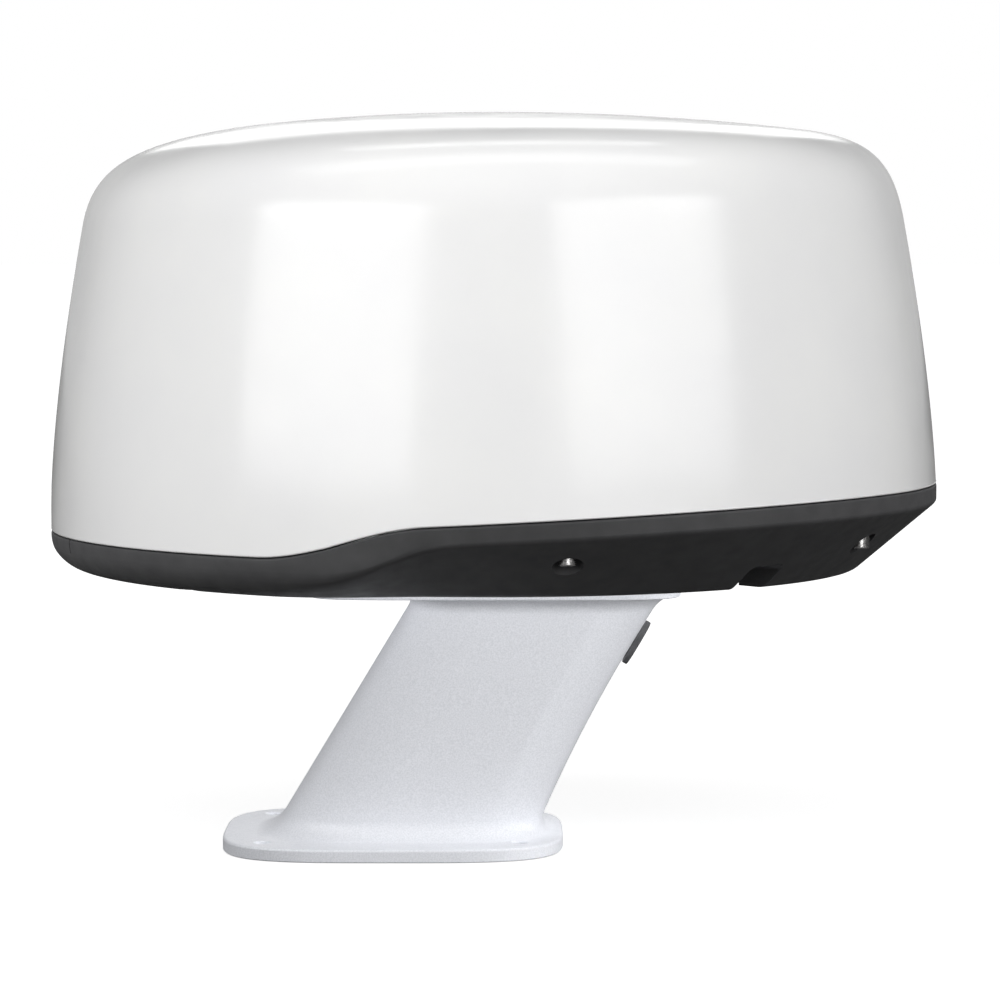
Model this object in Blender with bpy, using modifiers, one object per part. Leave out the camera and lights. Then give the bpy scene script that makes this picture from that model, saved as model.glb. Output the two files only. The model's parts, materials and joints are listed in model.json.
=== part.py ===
"""Marine radar dome antenna on an aft-leaning mast mount.

The deck is the plane z = 0 and the antenna turns about the Z axis. +X is aft, so the bow is at -X
and the port side at -Y. Every dimension here is in millimetres, and add_object makes them metres.
"""

import math

import bmesh
import bpy
from mathutils import Matrix, Vector

MM = 0.001
GAP = 0.3  # clearance between neighbouring pieces

# Radome
RIM_RADIUS = 254.0
FLOOR_Z = 161.0  # flat underside of the lower housing
CROWN_Z = 420.5
CROWN_END_RADIUS = 12.0  # radius of the small flat at the very top
WALL_FOOT_Z = 200.0  # below this height the wall of the dome is upright
WALL_TAPER = 0.00975
DOME_WALL = 4.5
HOUSING_WALL = 4.0
CORNER_BOW_Z = 400.0  # height at which wall and crown would meet without a shoulder
CORNER_AFT_Z = 404.0
SHOULDER_DROP = 42.0  # length of wall that the shoulder curve takes up
SHOULDER_BOW_RUN = 85.0  # length of crown that it takes up
SHOULDER_AFT_RUN = 45.0
SHOULDER_PULL = 0.75
SEAL_HEIGHT = 3.5
SEAL_INNER_RADIUS = 244.4
SEAL_OUTER_RADIUS = 248.3

# Line between dome and housing: heights, and azimuths from the bow
PARTING_BOW_Z = 183.0
PARTING_RISE = 27.0
SWEEP_START = 61.0
SWEEP_RUN = 21.0
SWEEP_SHARE = 0.55  # share of the rise that the short sweep takes
TAIL_START = 70.0
TAIL_RUN = 80.0

# Lower housing: a bowl at the bow, an upright band over a slanting undercut aft
UNDERCUT_START = 64.0
UNDERCUT_RUN = 22.0
BAND_HEIGHT = 10.0
BOWL_SIDE_Z = 181.0
BOWL_SIDE_RADIUS = 252.6
BOWL_EDGE_Z = 167.0
BOWL_EDGE_RADIUS = 247.5
BOWL_FLOOR_RADIUS = 233.0
AFT_FLOOR_RADIUS = 208.0
FLOOR_SHIFT_START = 60.0
LIP_WIDTH = 10.0
BOSS_SKIN = 1.0  # wall left between a boss and the outer face

# Dome screws, as azimuths from aft
SCREW_AZIMUTHS = (30, 80.5, 134, -134, -80.5, -30)
SCREW_CIRCLE = 232.0
SCREW_SEAT_AFT = 188.0
SCREW_SEAT_BOW = 170.0
SCREW_HEAD = (4.7, 8.0)  # radius and height
SCREW_SHANK = 2.3
SCREW_REACH = 13.0  # how far the screw runs into the dome above the seal
POCKET_CIRCLE = 233.0
POCKET_RADIUS = 8.4
POCKET_SQUEEZE = 0.786  # radial width of a pocket as a share of its length
HOUSING_BOSS_RADIUS = 11.0
HOUSING_SCREW_HOLE = 2.9
DOME_BOSS_RADII = (222.0, 250.5)
DOME_BOSS_HALF_WIDTH = 8.0
DOME_BOSS_HEIGHT = 18.0
DOME_SCREW_HOLE = 2.6
DOME_HOLE_DEPTH = 14.0

# Cable well in the underside, on the port quarter
WELL_AZIMUTH = -49.0
WELL_RADIUS = 158.0
WELL_LENGTH = 62.0
WELL_WIDTH = 50.0
WELL_CEILING = 175.0
WELL_BLOCK_RADII = (120.0, 216.0)
WELL_BLOCK_HALF_WIDTH = 30.0
NOTCH_WIDTH = 24.0
NOTCH_OUTER_RADIUS = 240.0
NOTCH_BEVEL = 4.0
SOCKET_HOLE = 6.3
SOCKET_SPACING = 12.5  # from the middle of the well to each socket
VENT_X = -40.0
VENT_Y = 120.0
VENT_HOLE = 5.3

# Mast mount
PLATE_CENTRE_X = -58.0
PLATE_HALF_LENGTH = 98.0
PLATE_HALF_WIDTH = 82.0
PLATE_THICKNESS = 7.5
DECK_BOLT_X = 73.0  # half the spacing of the deck bolt holes
DECK_BOLT_Y = 55.0
DECK_BOLT_RADIUS = 4.5
FLANGE_HALF_LENGTH = 131.0
FLANGE_HALF_WIDTH = 84.0
FLANGE_THICKNESS = 5.0
PAD_CENTRE_X = 0.5  # thick pad under the top flange, on the head of the mast
PAD_HALF_LENGTH = 106.5
PAD_HALF_WIDTH = 60.0
PAD_THICKNESS = 10.2
FLANGE_HOLE_X = 30.0  # centre of the cable hole in the top flange
FLANGE_HOLE_RADIUS = 24.0
RADOME_BOLT_X = 116.5
RADOME_BOLT_Y = 70.75
RADOME_BOLT_HEAD = (6.5, 3.0)
RADOME_BOLT_SHANK = 3.9
RADOME_BOLT_TIP = 175.0
RADOME_BOLT_HOLE = 4.5
RADOME_BOSS_RADIUS = 9.0
RADOME_BOSS_TOP = 181.0
MAST_FRONT_X = -132.0  # front of the mast at deck level
MAST_FRONT_LEAN = 0.602
MAST_BACK_X = 21.5
MAST_BACK_LEAN = 0.40
MAST_BACK_CURVE = 0.00087
MAST_FOOT_HALF_WIDTH = 51.0
MAST_HEAD_HALF_WIDTH = 46.0
MAST_WALL = 5.0
MAST_FILLET = 11.0
HEAD_FILLET = 9.0

# Rubber grommet in the aft face of the mast: half height and half width
GROMMET_Z = 117.0
GROMMET_LEAN = math.atan(0.595)
GROMMET_HOLE = (11.0, 6.5)
GROMMET_FLANGE = (14.0, 8.5)
GROMMET_BODY = (10.6, 6.1)
GROMMET_TIP = (9.0, 4.5)
GROMMET_STAND = 4.2  # how far the flange stands off the mast

# Drive
POST_RADIUS = 12.0
BEARING_RADIUS = 19.0
BEARING_HEIGHT = 8.0
LOWER_BEARING_Z = 203.3
UPPER_BEARING_Z = 240.3
POST_BORE = 7.0
POST_TOP = 251.0
POST_SHOULDER_RADIUS = 15.0
POST_FOOT_RADIUS = 30.0
POST_FOOT_HEIGHT = 4.0
HUB_RADIUS = 26.0
HUB_LIP_RADIUS = 15.5
HUB_PLATE_RADIUS = 40.0
HUB_PLATE_Z = (226.0, 229.9)
PULLEY_LIP = 2.0
MAGNET_Y = 34.0
MAGNET_RADIUS = 3.0
BELT_Z = 232.2
BELT_HEIGHT = 7.0
BELT_THICKNESS = 1.4
DRIVEN_RADIUS = 45.0
MOTOR_PULLEY_RADIUS = 9.0
MOTOR_X = 85.0
MOTOR_SIZE = 42.0
MOTOR_TOP = 222.0
MOTOR_BORE = 3.2
SHAFT_RADIUS = 2.5
SHAFT_TOP = 243.0
MOTOR_SHEET = 2.5  # sheet of the motor's bracket
CHASSIS_Z = 185.0
CHASSIS_TOP = 188.0
CHASSIS_RADIUS = 186.0
CHASSIS_POST_X = 60.0
CHASSIS_POST_Y = 150.0
CHASSIS_POST_RADIUS = 7.0
CHASSIS_SCREW_HOLE = 2.3
COAX_X = -120.0  # where the coax comes up through the chassis
COAX_HOLE = 4.0

# Antenna
ARRAY_HALF_WIDTH = 205.0
ARRAY_BOTTOM = 262.0
ARRAY_TOP = 350.0
ARRAY_BACK_X = -18.0
ARRAY_DEPTH = 15.0
ARRAY_RIM = 3.0
ARRAY_COLUMNS = 12
ARRAY_ROWS = 2
PATCH_MARGIN = 6.0
PATCH_HEIGHT = 0.8
BRACKET_Z = 253.3
BRACKET_SHEET = 3.0
BRACKET_SCREW_CIRCLE = 20.0
BRACKET_SCREW_HOLE = 1.7

# Transceiver
CASE_LOW_X = -172.0
CASE_HIGH_X = -72.0
CASE_HALF_WIDTH = 52.0
CASE_TOP = 222.0
CASE_WALL = 3.0
CASE_BOARD_Z = 196.0
BOARD_THICKNESS = 1.6

for old in list(bpy.data.objects):
    bpy.data.objects.remove(old, do_unlink=True)

PARTS = bpy.data.collections.new("radar_dome_antenna")
CUTTERS = bpy.data.collections.new("cutters")
bpy.context.scene.collection.children.link(PARTS)
bpy.context.scene.collection.children.link(CUTTERS)


# ---------------------------------------------------------------- helpers


def make_material(name, colour, roughness, metallic=0.0):
    material = bpy.data.materials.new(name)
    material.use_nodes = True
    shader = material.node_tree.nodes["Principled BSDF"]
    shader.inputs["Base Color"].default_value = (*colour, 1.0)
    shader.inputs["Roughness"].default_value = roughness
    shader.inputs["Metallic"].default_value = metallic
    return material


DOME_WHITE = make_material("dome_white", (0.86, 0.86, 0.87), 0.12)
HOUSING_GREY = make_material("housing_grey", (0.035, 0.036, 0.038), 0.45)
POWDER_WHITE = make_material("powder_white", (0.66, 0.67, 0.70), 0.5)
RUBBER_BLACK = make_material("rubber_black", (0.03, 0.03, 0.03), 0.8)
STAINLESS = make_material("stainless", (0.60, 0.60, 0.62), 0.28, 1.0)
ALUMINIUM = make_material("aluminium", (0.70, 0.71, 0.73), 0.38, 1.0)
MOTOR_BLACK = make_material("motor_black", (0.05, 0.05, 0.055), 0.4, 0.6)
BOARD_GREEN = make_material("board_green", (0.03, 0.18, 0.08), 0.4)
PLASTIC_BLACK = make_material("plastic_black", (0.02, 0.02, 0.02), 0.5)
COPPER = make_material("copper", (0.80, 0.45, 0.25), 0.35, 1.0)


def add_object(name, bm, material=None, origin=(0, 0, 0)):
    """Links the mesh as a part, or as a hidden cutter when it has no material."""
    bmesh.ops.translate(bm, verts=bm.verts, vec=-Vector(origin))
    bmesh.ops.scale(bm, verts=bm.verts, vec=(MM, MM, MM))
    mesh = bpy.data.meshes.new(name)
    bm.to_mesh(mesh)
    bm.free()
    obj = bpy.data.objects.new(name, mesh)
    obj.location = Vector(origin) * MM
    if material:
        mesh.materials.append(material)
        mesh.shade_smooth()
        mesh.set_sharp_from_angle(angle=math.radians(35))
        PARTS.objects.link(obj)
    else:
        obj.hide_render = True
        obj.display_type = "WIRE"
        CUTTERS.objects.link(obj)
    return obj


def combine(obj, other, operation="DIFFERENCE"):
    modifier = obj.modifiers.new(other.name, "BOOLEAN")
    modifier.operation = operation
    modifier.solver = "EXACT"
    modifier.object = other


def loft(rings, closed=False):
    """Skins rings of equally many points. An open loft is capped, a closed one joins its ends."""
    bm = bmesh.new()
    loops = [[bm.verts.new(point) for point in ring] for ring in rings]
    if not closed:
        bm.faces.new(loops[0])
        bm.faces.new(loops[-1])
    following = loops[1:] + loops[:1] if closed else loops[1:]
    for lower, upper in zip(loops, following):
        for i in range(len(lower)):
            j = (i + 1) % len(lower)
            bm.faces.new((lower[i], lower[j], upper[j], upper[i]))
    bmesh.ops.recalc_face_normals(bm, faces=bm.faces)
    return bm


def box(low, high, bevel=0.0, turn=0.0):
    """A box between two corners, turned about the Z axis."""
    bm = bmesh.new()
    low, high = Vector(low), Vector(high)
    size = high - low
    place = Matrix.Translation((low + high) / 2) @ Matrix.Diagonal((*size, 1))
    bmesh.ops.create_cube(bm, size=1.0, matrix=place)
    if bevel:
        bmesh.ops.bevel(bm, geom=bm.edges[:], offset=bevel, segments=2, affect="EDGES", profile=0.5)
    bmesh.ops.rotate(bm, verts=bm.verts, cent=(0, 0, 0), matrix=Matrix.Rotation(turn, 3, "Z"))
    return bm


def cylinder(radius, z0, z1, x=0.0, y=0.0, segments=16):
    bm = bmesh.new()
    place = Matrix.Translation((x, y, (z0 + z1) / 2))
    bmesh.ops.create_cone(
        bm,
        cap_ends=True,
        segments=segments,
        radius1=radius,
        radius2=radius,
        depth=z1 - z0,
        matrix=place,
    )
    return bm


def merged(*shapes):
    """Several closed shapes in one mesh, for a Boolean operand."""
    whole = bmesh.new()
    for shape in shapes:
        mesh = bpy.data.meshes.new("merged")
        shape.to_mesh(mesh)
        shape.free()
        whole.from_mesh(mesh)
        bpy.data.meshes.remove(mesh)
    return whole


def turned(name, profile, material, centre=(0, 0), segments=24):
    """A turned piece from (radius, z) points: from the top of the axis down the outside, or a loop."""
    bm = bmesh.new()
    points = [bm.verts.new((radius, 0, z)) for radius, z in profile]
    is_loop = profile[0][0] > 0
    ends = points[1:] + points[:1] if is_loop else points[1:]
    for start, end in zip(points, ends):
        bm.edges.new((start, end))
    bmesh.ops.translate(bm, verts=bm.verts, vec=(*centre, 0))
    obj = add_object(name, bm, material, origin=(*centre, 0))
    screw = obj.modifiers.new("turn", "SCREW")
    screw.steps = segments
    screw.render_steps = segments
    screw.use_merge_vertices = True
    screw.merge_threshold = 0.00005
    return obj


def ease(t):
    t = min(max(t, 0.0), 1.0)
    return t * t * (3 - 2 * t)


def blend(start, end, t):
    return start + (end - start) * t


def polar(radius, azimuth, z):
    """A point by its azimuth from aft, in degrees."""
    angle = math.radians(azimuth)
    return (radius * math.cos(angle), radius * math.sin(angle), z)


def corners(x, y, centre_x=0.0):
    """The four corners of a rectangle, port side first."""
    return [(centre_x + side_x * x, side_y * y) for side_x in (-1, 1) for side_y in (-1, 1)]


# ---------------------------------------------------------------- radome outline


def azimuths():
    """Azimuths from aft, closer together where the line between dome and housing sweeps up."""
    half = [7.5 * step for step in range(12)]
    half += [90 + 3 * step for step in range(10)]
    half += [120 + 7.5 * step for step in range(8)]
    return half + [180] + [-azimuth for azimuth in reversed(half[1:])]


def parting_z(azimuth):
    """Height of the line between dome and housing: level at the bow, then an S-shaped rise."""
    from_bow = 180 - abs(azimuth)
    sweep = ease((from_bow - SWEEP_START) / SWEEP_RUN)
    tail = math.sin(math.pi / 2 * min(max((from_bow - TAIL_START) / TAIL_RUN, 0.0), 1.0))
    return PARTING_BOW_Z + PARTING_RISE * blend(tail, sweep, SWEEP_SHARE)


def undercut(azimuth):
    """0 where the housing is a plain bowl, 1 where its side is undercut."""
    return ease((180 - abs(azimuth) - UNDERCUT_START) / UNDERCUT_RUN)


def wall_radius(z, inset):
    return RIM_RADIUS - inset - WALL_TAPER * max(z - WALL_FOOT_Z, 0.0) ** 1.5


def bezier(points, t):
    while len(points) > 1:
        points = [start.lerp(end, t) for start, end in zip(points, points[1:])]
    return points[0]


def dome_profile(azimuth, inset, foot, steps):
    """(radius, z) from the rim over the shoulder to the crown. The shoulder is softer at the bow."""
    wall_steps, shoulder_steps, crown_steps = steps
    aft = (1 + math.cos(math.radians(azimuth))) / 2
    corner_z = blend(CORNER_BOW_Z, CORNER_AFT_Z, aft) - inset
    corner_radius = wall_radius(corner_z + inset, inset)
    crown_z = CROWN_Z - inset

    def crown(radius):
        return crown_z - (crown_z - corner_z) * (radius / corner_radius) ** 2

    shoulder_z = corner_z - SHOULDER_DROP
    foot_z = parting_z(azimuth) + foot
    corner = Vector((corner_radius, corner_z))
    start = Vector((wall_radius(shoulder_z + inset, inset), shoulder_z))
    end_radius = corner_radius - blend(SHOULDER_BOW_RUN, SHOULDER_AFT_RUN, aft)
    end = Vector((end_radius, crown(end_radius)))
    handles = [start, start.lerp(corner, SHOULDER_PULL), end.lerp(corner, SHOULDER_PULL), end]
    profile = []
    for step in range(wall_steps):
        z = blend(foot_z, shoulder_z, step / wall_steps)
        profile.append((wall_radius(z + inset, inset), z))
    for step in range(shoulder_steps):
        profile.append(tuple(bezier(handles, step / shoulder_steps)))
    for step in range(crown_steps):
        radius = blend(end_radius, CROWN_END_RADIUS, step / (crown_steps - 1))
        profile.append((radius, crown(radius)))
    return profile


def dome_rings(inset, foot, steps):
    profiles = [dome_profile(azimuth, inset, foot, steps) for azimuth in azimuths()]
    return [
        [polar(radius, azimuth, z) for azimuth, (radius, z) in zip(azimuths(), ring)]
        for ring in zip(*profiles)
    ]


def housing_profile(azimuth, inset):
    """(radius, z) points from the top edge of the housing down to its flat underside."""
    cut = undercut(azimuth)
    top = parting_z(azimuth) - GAP
    edge_z = blend(BOWL_EDGE_Z, parting_z(azimuth) - BAND_HEIGHT, cut)
    edge_radius = blend(BOWL_EDGE_RADIUS, RIM_RADIUS, cut)
    side_z = blend(BOWL_SIDE_Z, edge_z + 1.0, cut)
    shift = ease((180 - abs(azimuth) - FLOOR_SHIFT_START) / UNDERCUT_RUN)
    floor_radius = blend(BOWL_FLOOR_RADIUS, AFT_FLOOR_RADIUS, shift)
    middle_radius = (edge_radius + floor_radius) / 2 + 1.2 * (1 - cut)
    middle_z = (edge_z + FLOOR_Z) / 2 - 0.9 * (1 - cut)
    points = [
        (RIM_RADIUS, top),
        (RIM_RADIUS, side_z),
        (blend(BOWL_SIDE_RADIUS, RIM_RADIUS, cut), (side_z + edge_z) / 2),
        (edge_radius, edge_z),
        (middle_radius, middle_z),
        (floor_radius, FLOOR_Z),
    ]
    if not inset:
        return points
    inner = [(RIM_RADIUS - LIP_WIDTH, top), (RIM_RADIUS - LIP_WIDTH, side_z + inset)]
    inner += [(radius - inset * 1.1, z + inset) for radius, z in points[3:]]
    return inner


def housing_rings(inset):
    profiles = [housing_profile(azimuth, inset) for azimuth in azimuths()]
    return [
        [polar(radius, azimuth, z) for azimuth, (radius, z) in zip(azimuths(), ring)]
        for ring in zip(*profiles)
    ]


def boss_limit_rings():
    """A solid just inside the outer face of the housing, so that no boss stands out of it."""
    rings = []
    for ring in housing_rings(0.0):
        inward = [Vector((x, y, 0)).normalized() * BOSS_SKIN for x, y, _ in ring]
        rings.append([(x - off.x, y - off.y, z + BOSS_SKIN) for (x, y, z), off in zip(ring, inward)])
    top = [(x, y, WALL_FOOT_Z + 30) for x, y, _ in rings[0]]
    return [top] + rings


# ---------------------------------------------------------------- radome shells


def screw_seat(azimuth):
    return SCREW_SEAT_BOW if abs(azimuth) > 120 else SCREW_SEAT_AFT


def radial_box(azimuth, inner, outer, half_width, z0, z1):
    """A box that runs outwards along an azimuth."""
    return box((inner, -half_width, z0), (outer, half_width, z1), turn=math.radians(azimuth))


def make_dome():
    outer = dome_rings(0.0, GAP, (4, 6, 4))
    inner = dome_rings(DOME_WALL, GAP, (2, 3, 3))
    dome = add_object("dome", loft(inner[::-1] + outer), DOME_WHITE)
    bosses = []
    holes = []
    for azimuth in SCREW_AZIMUTHS:
        foot = parting_z(azimuth) + SEAL_HEIGHT + 1.0
        top = foot + DOME_BOSS_HEIGHT
        bosses.append(radial_box(azimuth, *DOME_BOSS_RADII, DOME_BOSS_HALF_WIDTH, foot, top))
        x, y, _ = polar(SCREW_CIRCLE, azimuth, 0)
        holes.append(cylinder(DOME_SCREW_HOLE, foot - 1, foot + DOME_HOLE_DEPTH, x, y, 8))
    combine(dome, add_object("dome_bosses", merged(*bosses)), "UNION")
    combine(dome, add_object("dome_screw_holes", merged(*holes)))


def make_lower_housing():
    outer = housing_rings(0.0)
    inner = housing_rings(HOUSING_WALL)
    housing = add_object("lower_housing", loft(inner[::-1] + outer), HOUSING_GREY)
    floor_in = FLOOR_Z + HOUSING_WALL - 1
    well_top = WELL_CEILING + 3
    solids = [radial_box(WELL_AZIMUTH, *WELL_BLOCK_RADII, WELL_BLOCK_HALF_WIDTH, FLOOR_Z + 1, well_top)]
    for x, y in corners(RADOME_BOLT_X, RADOME_BOLT_Y):
        solids.append(cylinder(RADOME_BOSS_RADIUS, floor_in, RADOME_BOSS_TOP, x, y, 12))
    for x, y in corners(CHASSIS_POST_X, CHASSIS_POST_Y):
        solids.append(cylinder(CHASSIS_POST_RADIUS, floor_in, CHASSIS_Z - GAP, x, y, 12))
    for azimuth in SCREW_AZIMUTHS:
        x, y, _ = polar(SCREW_CIRCLE, azimuth, 0)
        solids.append(cylinder(HOUSING_BOSS_RADIUS, FLOOR_Z, parting_z(azimuth) + SEAL_HEIGHT, x, y, 14))
    bosses = add_object("housing_bosses", merged(*solids))
    combine(bosses, add_object("boss_limit", loft(boss_limit_rings())), "INTERSECT")
    combine(housing, bosses, "UNION")
    holes = []
    for x, y in corners(RADOME_BOLT_X, RADOME_BOLT_Y):
        holes.append(cylinder(RADOME_BOLT_SHANK + 0.4, FLOOR_Z - 2, RADOME_BOLT_TIP + 2, x, y, 12))
    for x, y in corners(CHASSIS_POST_X, CHASSIS_POST_Y):
        holes.append(cylinder(CHASSIS_SCREW_HOLE, 172, CHASSIS_Z + 1, x, y, 8))
    for azimuth in SCREW_AZIMUTHS:
        x, y, _ = polar(SCREW_CIRCLE, azimuth, 0)
        top = parting_z(azimuth) + SEAL_HEIGHT + 2.5
        holes.append(cylinder(HOUSING_SCREW_HOLE, screw_seat(azimuth) - 2, top, x, y, 8))
    combine(housing, add_object("housing_holes", merged(*holes)))
    pockets = []
    for azimuth in SCREW_AZIMUTHS:
        pocket = cylinder(POCKET_RADIUS, FLOOR_Z - 6, screw_seat(azimuth))
        bmesh.ops.scale(pocket, verts=pocket.verts, vec=(POCKET_SQUEEZE, 1, 1))
        bmesh.ops.translate(pocket, verts=pocket.verts, vec=(POCKET_CIRCLE, 0, 0))
        turn = Matrix.Rotation(math.radians(azimuth), 3, "Z")
        bmesh.ops.rotate(pocket, verts=pocket.verts, cent=(0, 0, 0), matrix=turn)
        pockets.append(pocket)
    pockets.append(cylinder(VENT_HOLE, FLOOR_Z - 2, FLOOR_Z + 8, VENT_X, VENT_Y, 12))
    combine(housing, add_object("screw_pockets", merged(*pockets)))
    well_inner = WELL_RADIUS - WELL_LENGTH / 2
    well_outer = WELL_RADIUS + WELL_LENGTH / 2
    well_span = (well_inner, well_outer, WELL_WIDTH / 2)
    well = radial_box(WELL_AZIMUTH, *well_span, FLOOR_Z - 3, WELL_CEILING)
    combine(housing, add_object("cable_well", well))
    notch_span = (well_outer - 2, NOTCH_OUTER_RADIUS, NOTCH_WIDTH / 2)
    notch = radial_box(WELL_AZIMUTH, *notch_span, FLOOR_Z - 4, WELL_CEILING)
    bmesh.ops.bevel(
        notch,
        geom=[edge for edge in notch.edges if all(v.co.z > WELL_CEILING - 1 for v in edge.verts)],
        offset=NOTCH_BEVEL,
        segments=3,
        affect="EDGES",
        profile=0.5,
    )
    combine(housing, add_object("cable_notch", notch))
    sockets = []
    for side in (-1, 1):
        sockets.append(cylinder(SOCKET_HOLE, WELL_CEILING - 2, WELL_CEILING + 6, *socket_place(side)))
    combine(housing, add_object("socket_holes", merged(*sockets)))


def socket_place(side):
    """(x, y) of a cable socket in the ceiling of the well."""
    along = Vector(polar(WELL_RADIUS - 6, WELL_AZIMUTH, 0))
    across = Vector(polar(SOCKET_SPACING * side, WELL_AZIMUTH + 90, 0))
    return tuple((along + across).xy)


def make_dome_seal():
    """A rubber ring on the edge of the housing, inside the foot of the dome."""
    section = (
        (SEAL_INNER_RADIUS, 0.0),
        (SEAL_INNER_RADIUS, SEAL_HEIGHT),
        (SEAL_OUTER_RADIUS, SEAL_HEIGHT),
        (SEAL_OUTER_RADIUS, 0.0),
    )
    rings = []
    for radius, height in section:
        rings.append([polar(radius, azimuth, parting_z(azimuth) + height) for azimuth in azimuths()])
    add_object("dome_seal", loft(rings, closed=True), RUBBER_BLACK)


# ---------------------------------------------------------------- fasteners and fittings


def screw_from_below(name, x, y, seat, head, shank, tip, segments=12):
    """A socket-head screw that points up. The head is (radius, height), shank and tip a radius and z."""
    head_radius, head_height = head
    bottom = seat - head_height
    profile = [
        (0, tip),
        (shank, tip),
        (shank, seat),
        (head_radius, seat),
        (head_radius, bottom + 0.6),
        (head_radius - 0.6, bottom),
        (head_radius * 0.5, bottom),
        (head_radius * 0.5, bottom + head_height * 0.5),
        (0, bottom + head_height * 0.5),
    ]
    turned(name, profile, STAINLESS, (x, y), segments)


def screw_from_above(name, x, y, seat, head, shank, tip, segments=10):
    head_radius, head_height = head
    profile = [
        (0, seat + head_height),
        (head_radius, seat + head_height),
        (head_radius, seat),
        (shank, seat),
        (shank, tip),
        (0, tip),
    ]
    turned(name, profile, STAINLESS, (x, y), segments)


def make_fasteners():
    for number, azimuth in enumerate(SCREW_AZIMUTHS, 1):
        x, y, _ = polar(SCREW_CIRCLE, azimuth, 0)
        tip = parting_z(azimuth) + SEAL_HEIGHT + SCREW_REACH
        seat = screw_seat(azimuth) - GAP
        screw_from_below(f"dome_screw_{number}", x, y, seat, SCREW_HEAD, SCREW_SHANK, tip)
    seat = FLOOR_Z - GAP - FLANGE_THICKNESS - GAP
    for number, (x, y) in enumerate(corners(RADOME_BOLT_X, RADOME_BOLT_Y), 1):
        name = f"radome_bolt_{number}"
        screw_from_below(name, x, y, seat, RADOME_BOLT_HEAD, RADOME_BOLT_SHANK, RADOME_BOLT_TIP)
    for number, (x, y) in enumerate(corners(CHASSIS_POST_X, CHASSIS_POST_Y), 1):
        screw_from_above(f"chassis_screw_{number}", x, y, CHASSIS_TOP + GAP, (4.0, 3.0), 1.9, 173)
    for number in range(1, 4):
        x, y, _ = polar(BRACKET_SCREW_CIRCLE, 120 * number, 0)
        seat = BRACKET_Z + BRACKET_SHEET + GAP
        screw_from_above(f"bracket_screw_{number}", x, y, seat, (3.0, 2.5), 1.4, 249.8)


def make_sockets():
    for name, side in (("power_socket", -1), ("network_socket", 1)):
        top = WELL_CEILING
        profile = [
            (0, top + 8),
            (6, top + 8),
            (6, top - GAP),
            (9, top - GAP),
            (9, top - 2.5),
            (7.5, top - 2.5),
            (7.5, top - 11),
            (5.5, top - 11),
            (5.5, top - 3),
            (0, top - 3),
        ]
        turned(name, profile, PLASTIC_BLACK, socket_place(side), 14)
    vent = [
        (0, FLOOR_Z + 7),
        (8, FLOOR_Z + 7),
        (8, FLOOR_Z + HOUSING_WALL + GAP),
        (5, FLOOR_Z + HOUSING_WALL + GAP),
        (5, FLOOR_Z + 0.2),
        (0, FLOOR_Z + 0.2),
    ]
    turned("breather_vent", vent, PLASTIC_BLACK, (VENT_X, VENT_Y), 12)


# ---------------------------------------------------------------- mast mount


def squircle(centre_x, half_length, half_width, z, power=3.7, count=40):
    """A ring between an ellipse and a rectangle."""
    ring = []
    for step in range(count):
        angle = 2 * math.pi * step / count
        c, s = math.cos(angle), math.sin(angle)
        scale = (abs(c) ** power + abs(s) ** power) ** (-1 / power)
        ring.append((centre_x + half_length * scale * c, half_width * scale * s, z))
    return ring


def mast_back(z):
    """X of the mast's aft face at one height."""
    return MAST_BACK_X + MAST_BACK_LEAN * z + MAST_BACK_CURVE * z * z


def mast_section(z, grow=0.0):
    """A ring round the leaning mast at one height."""
    front = MAST_FRONT_X + MAST_FRONT_LEAN * z - grow
    back = mast_back(z) + grow
    half_width = blend(MAST_FOOT_HALF_WIDTH, MAST_HEAD_HALF_WIDTH, z / FLOOR_Z) + grow
    return squircle((front + back) / 2, (back - front) / 2, half_width, z, 3.2, 32)


def fillet_growth(distance, radius):
    """How far a round fillet stands out at a distance from the face that it runs into."""
    if distance >= radius:
        return 0.0
    return radius - math.sqrt(radius**2 - (radius - distance) ** 2)


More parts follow.
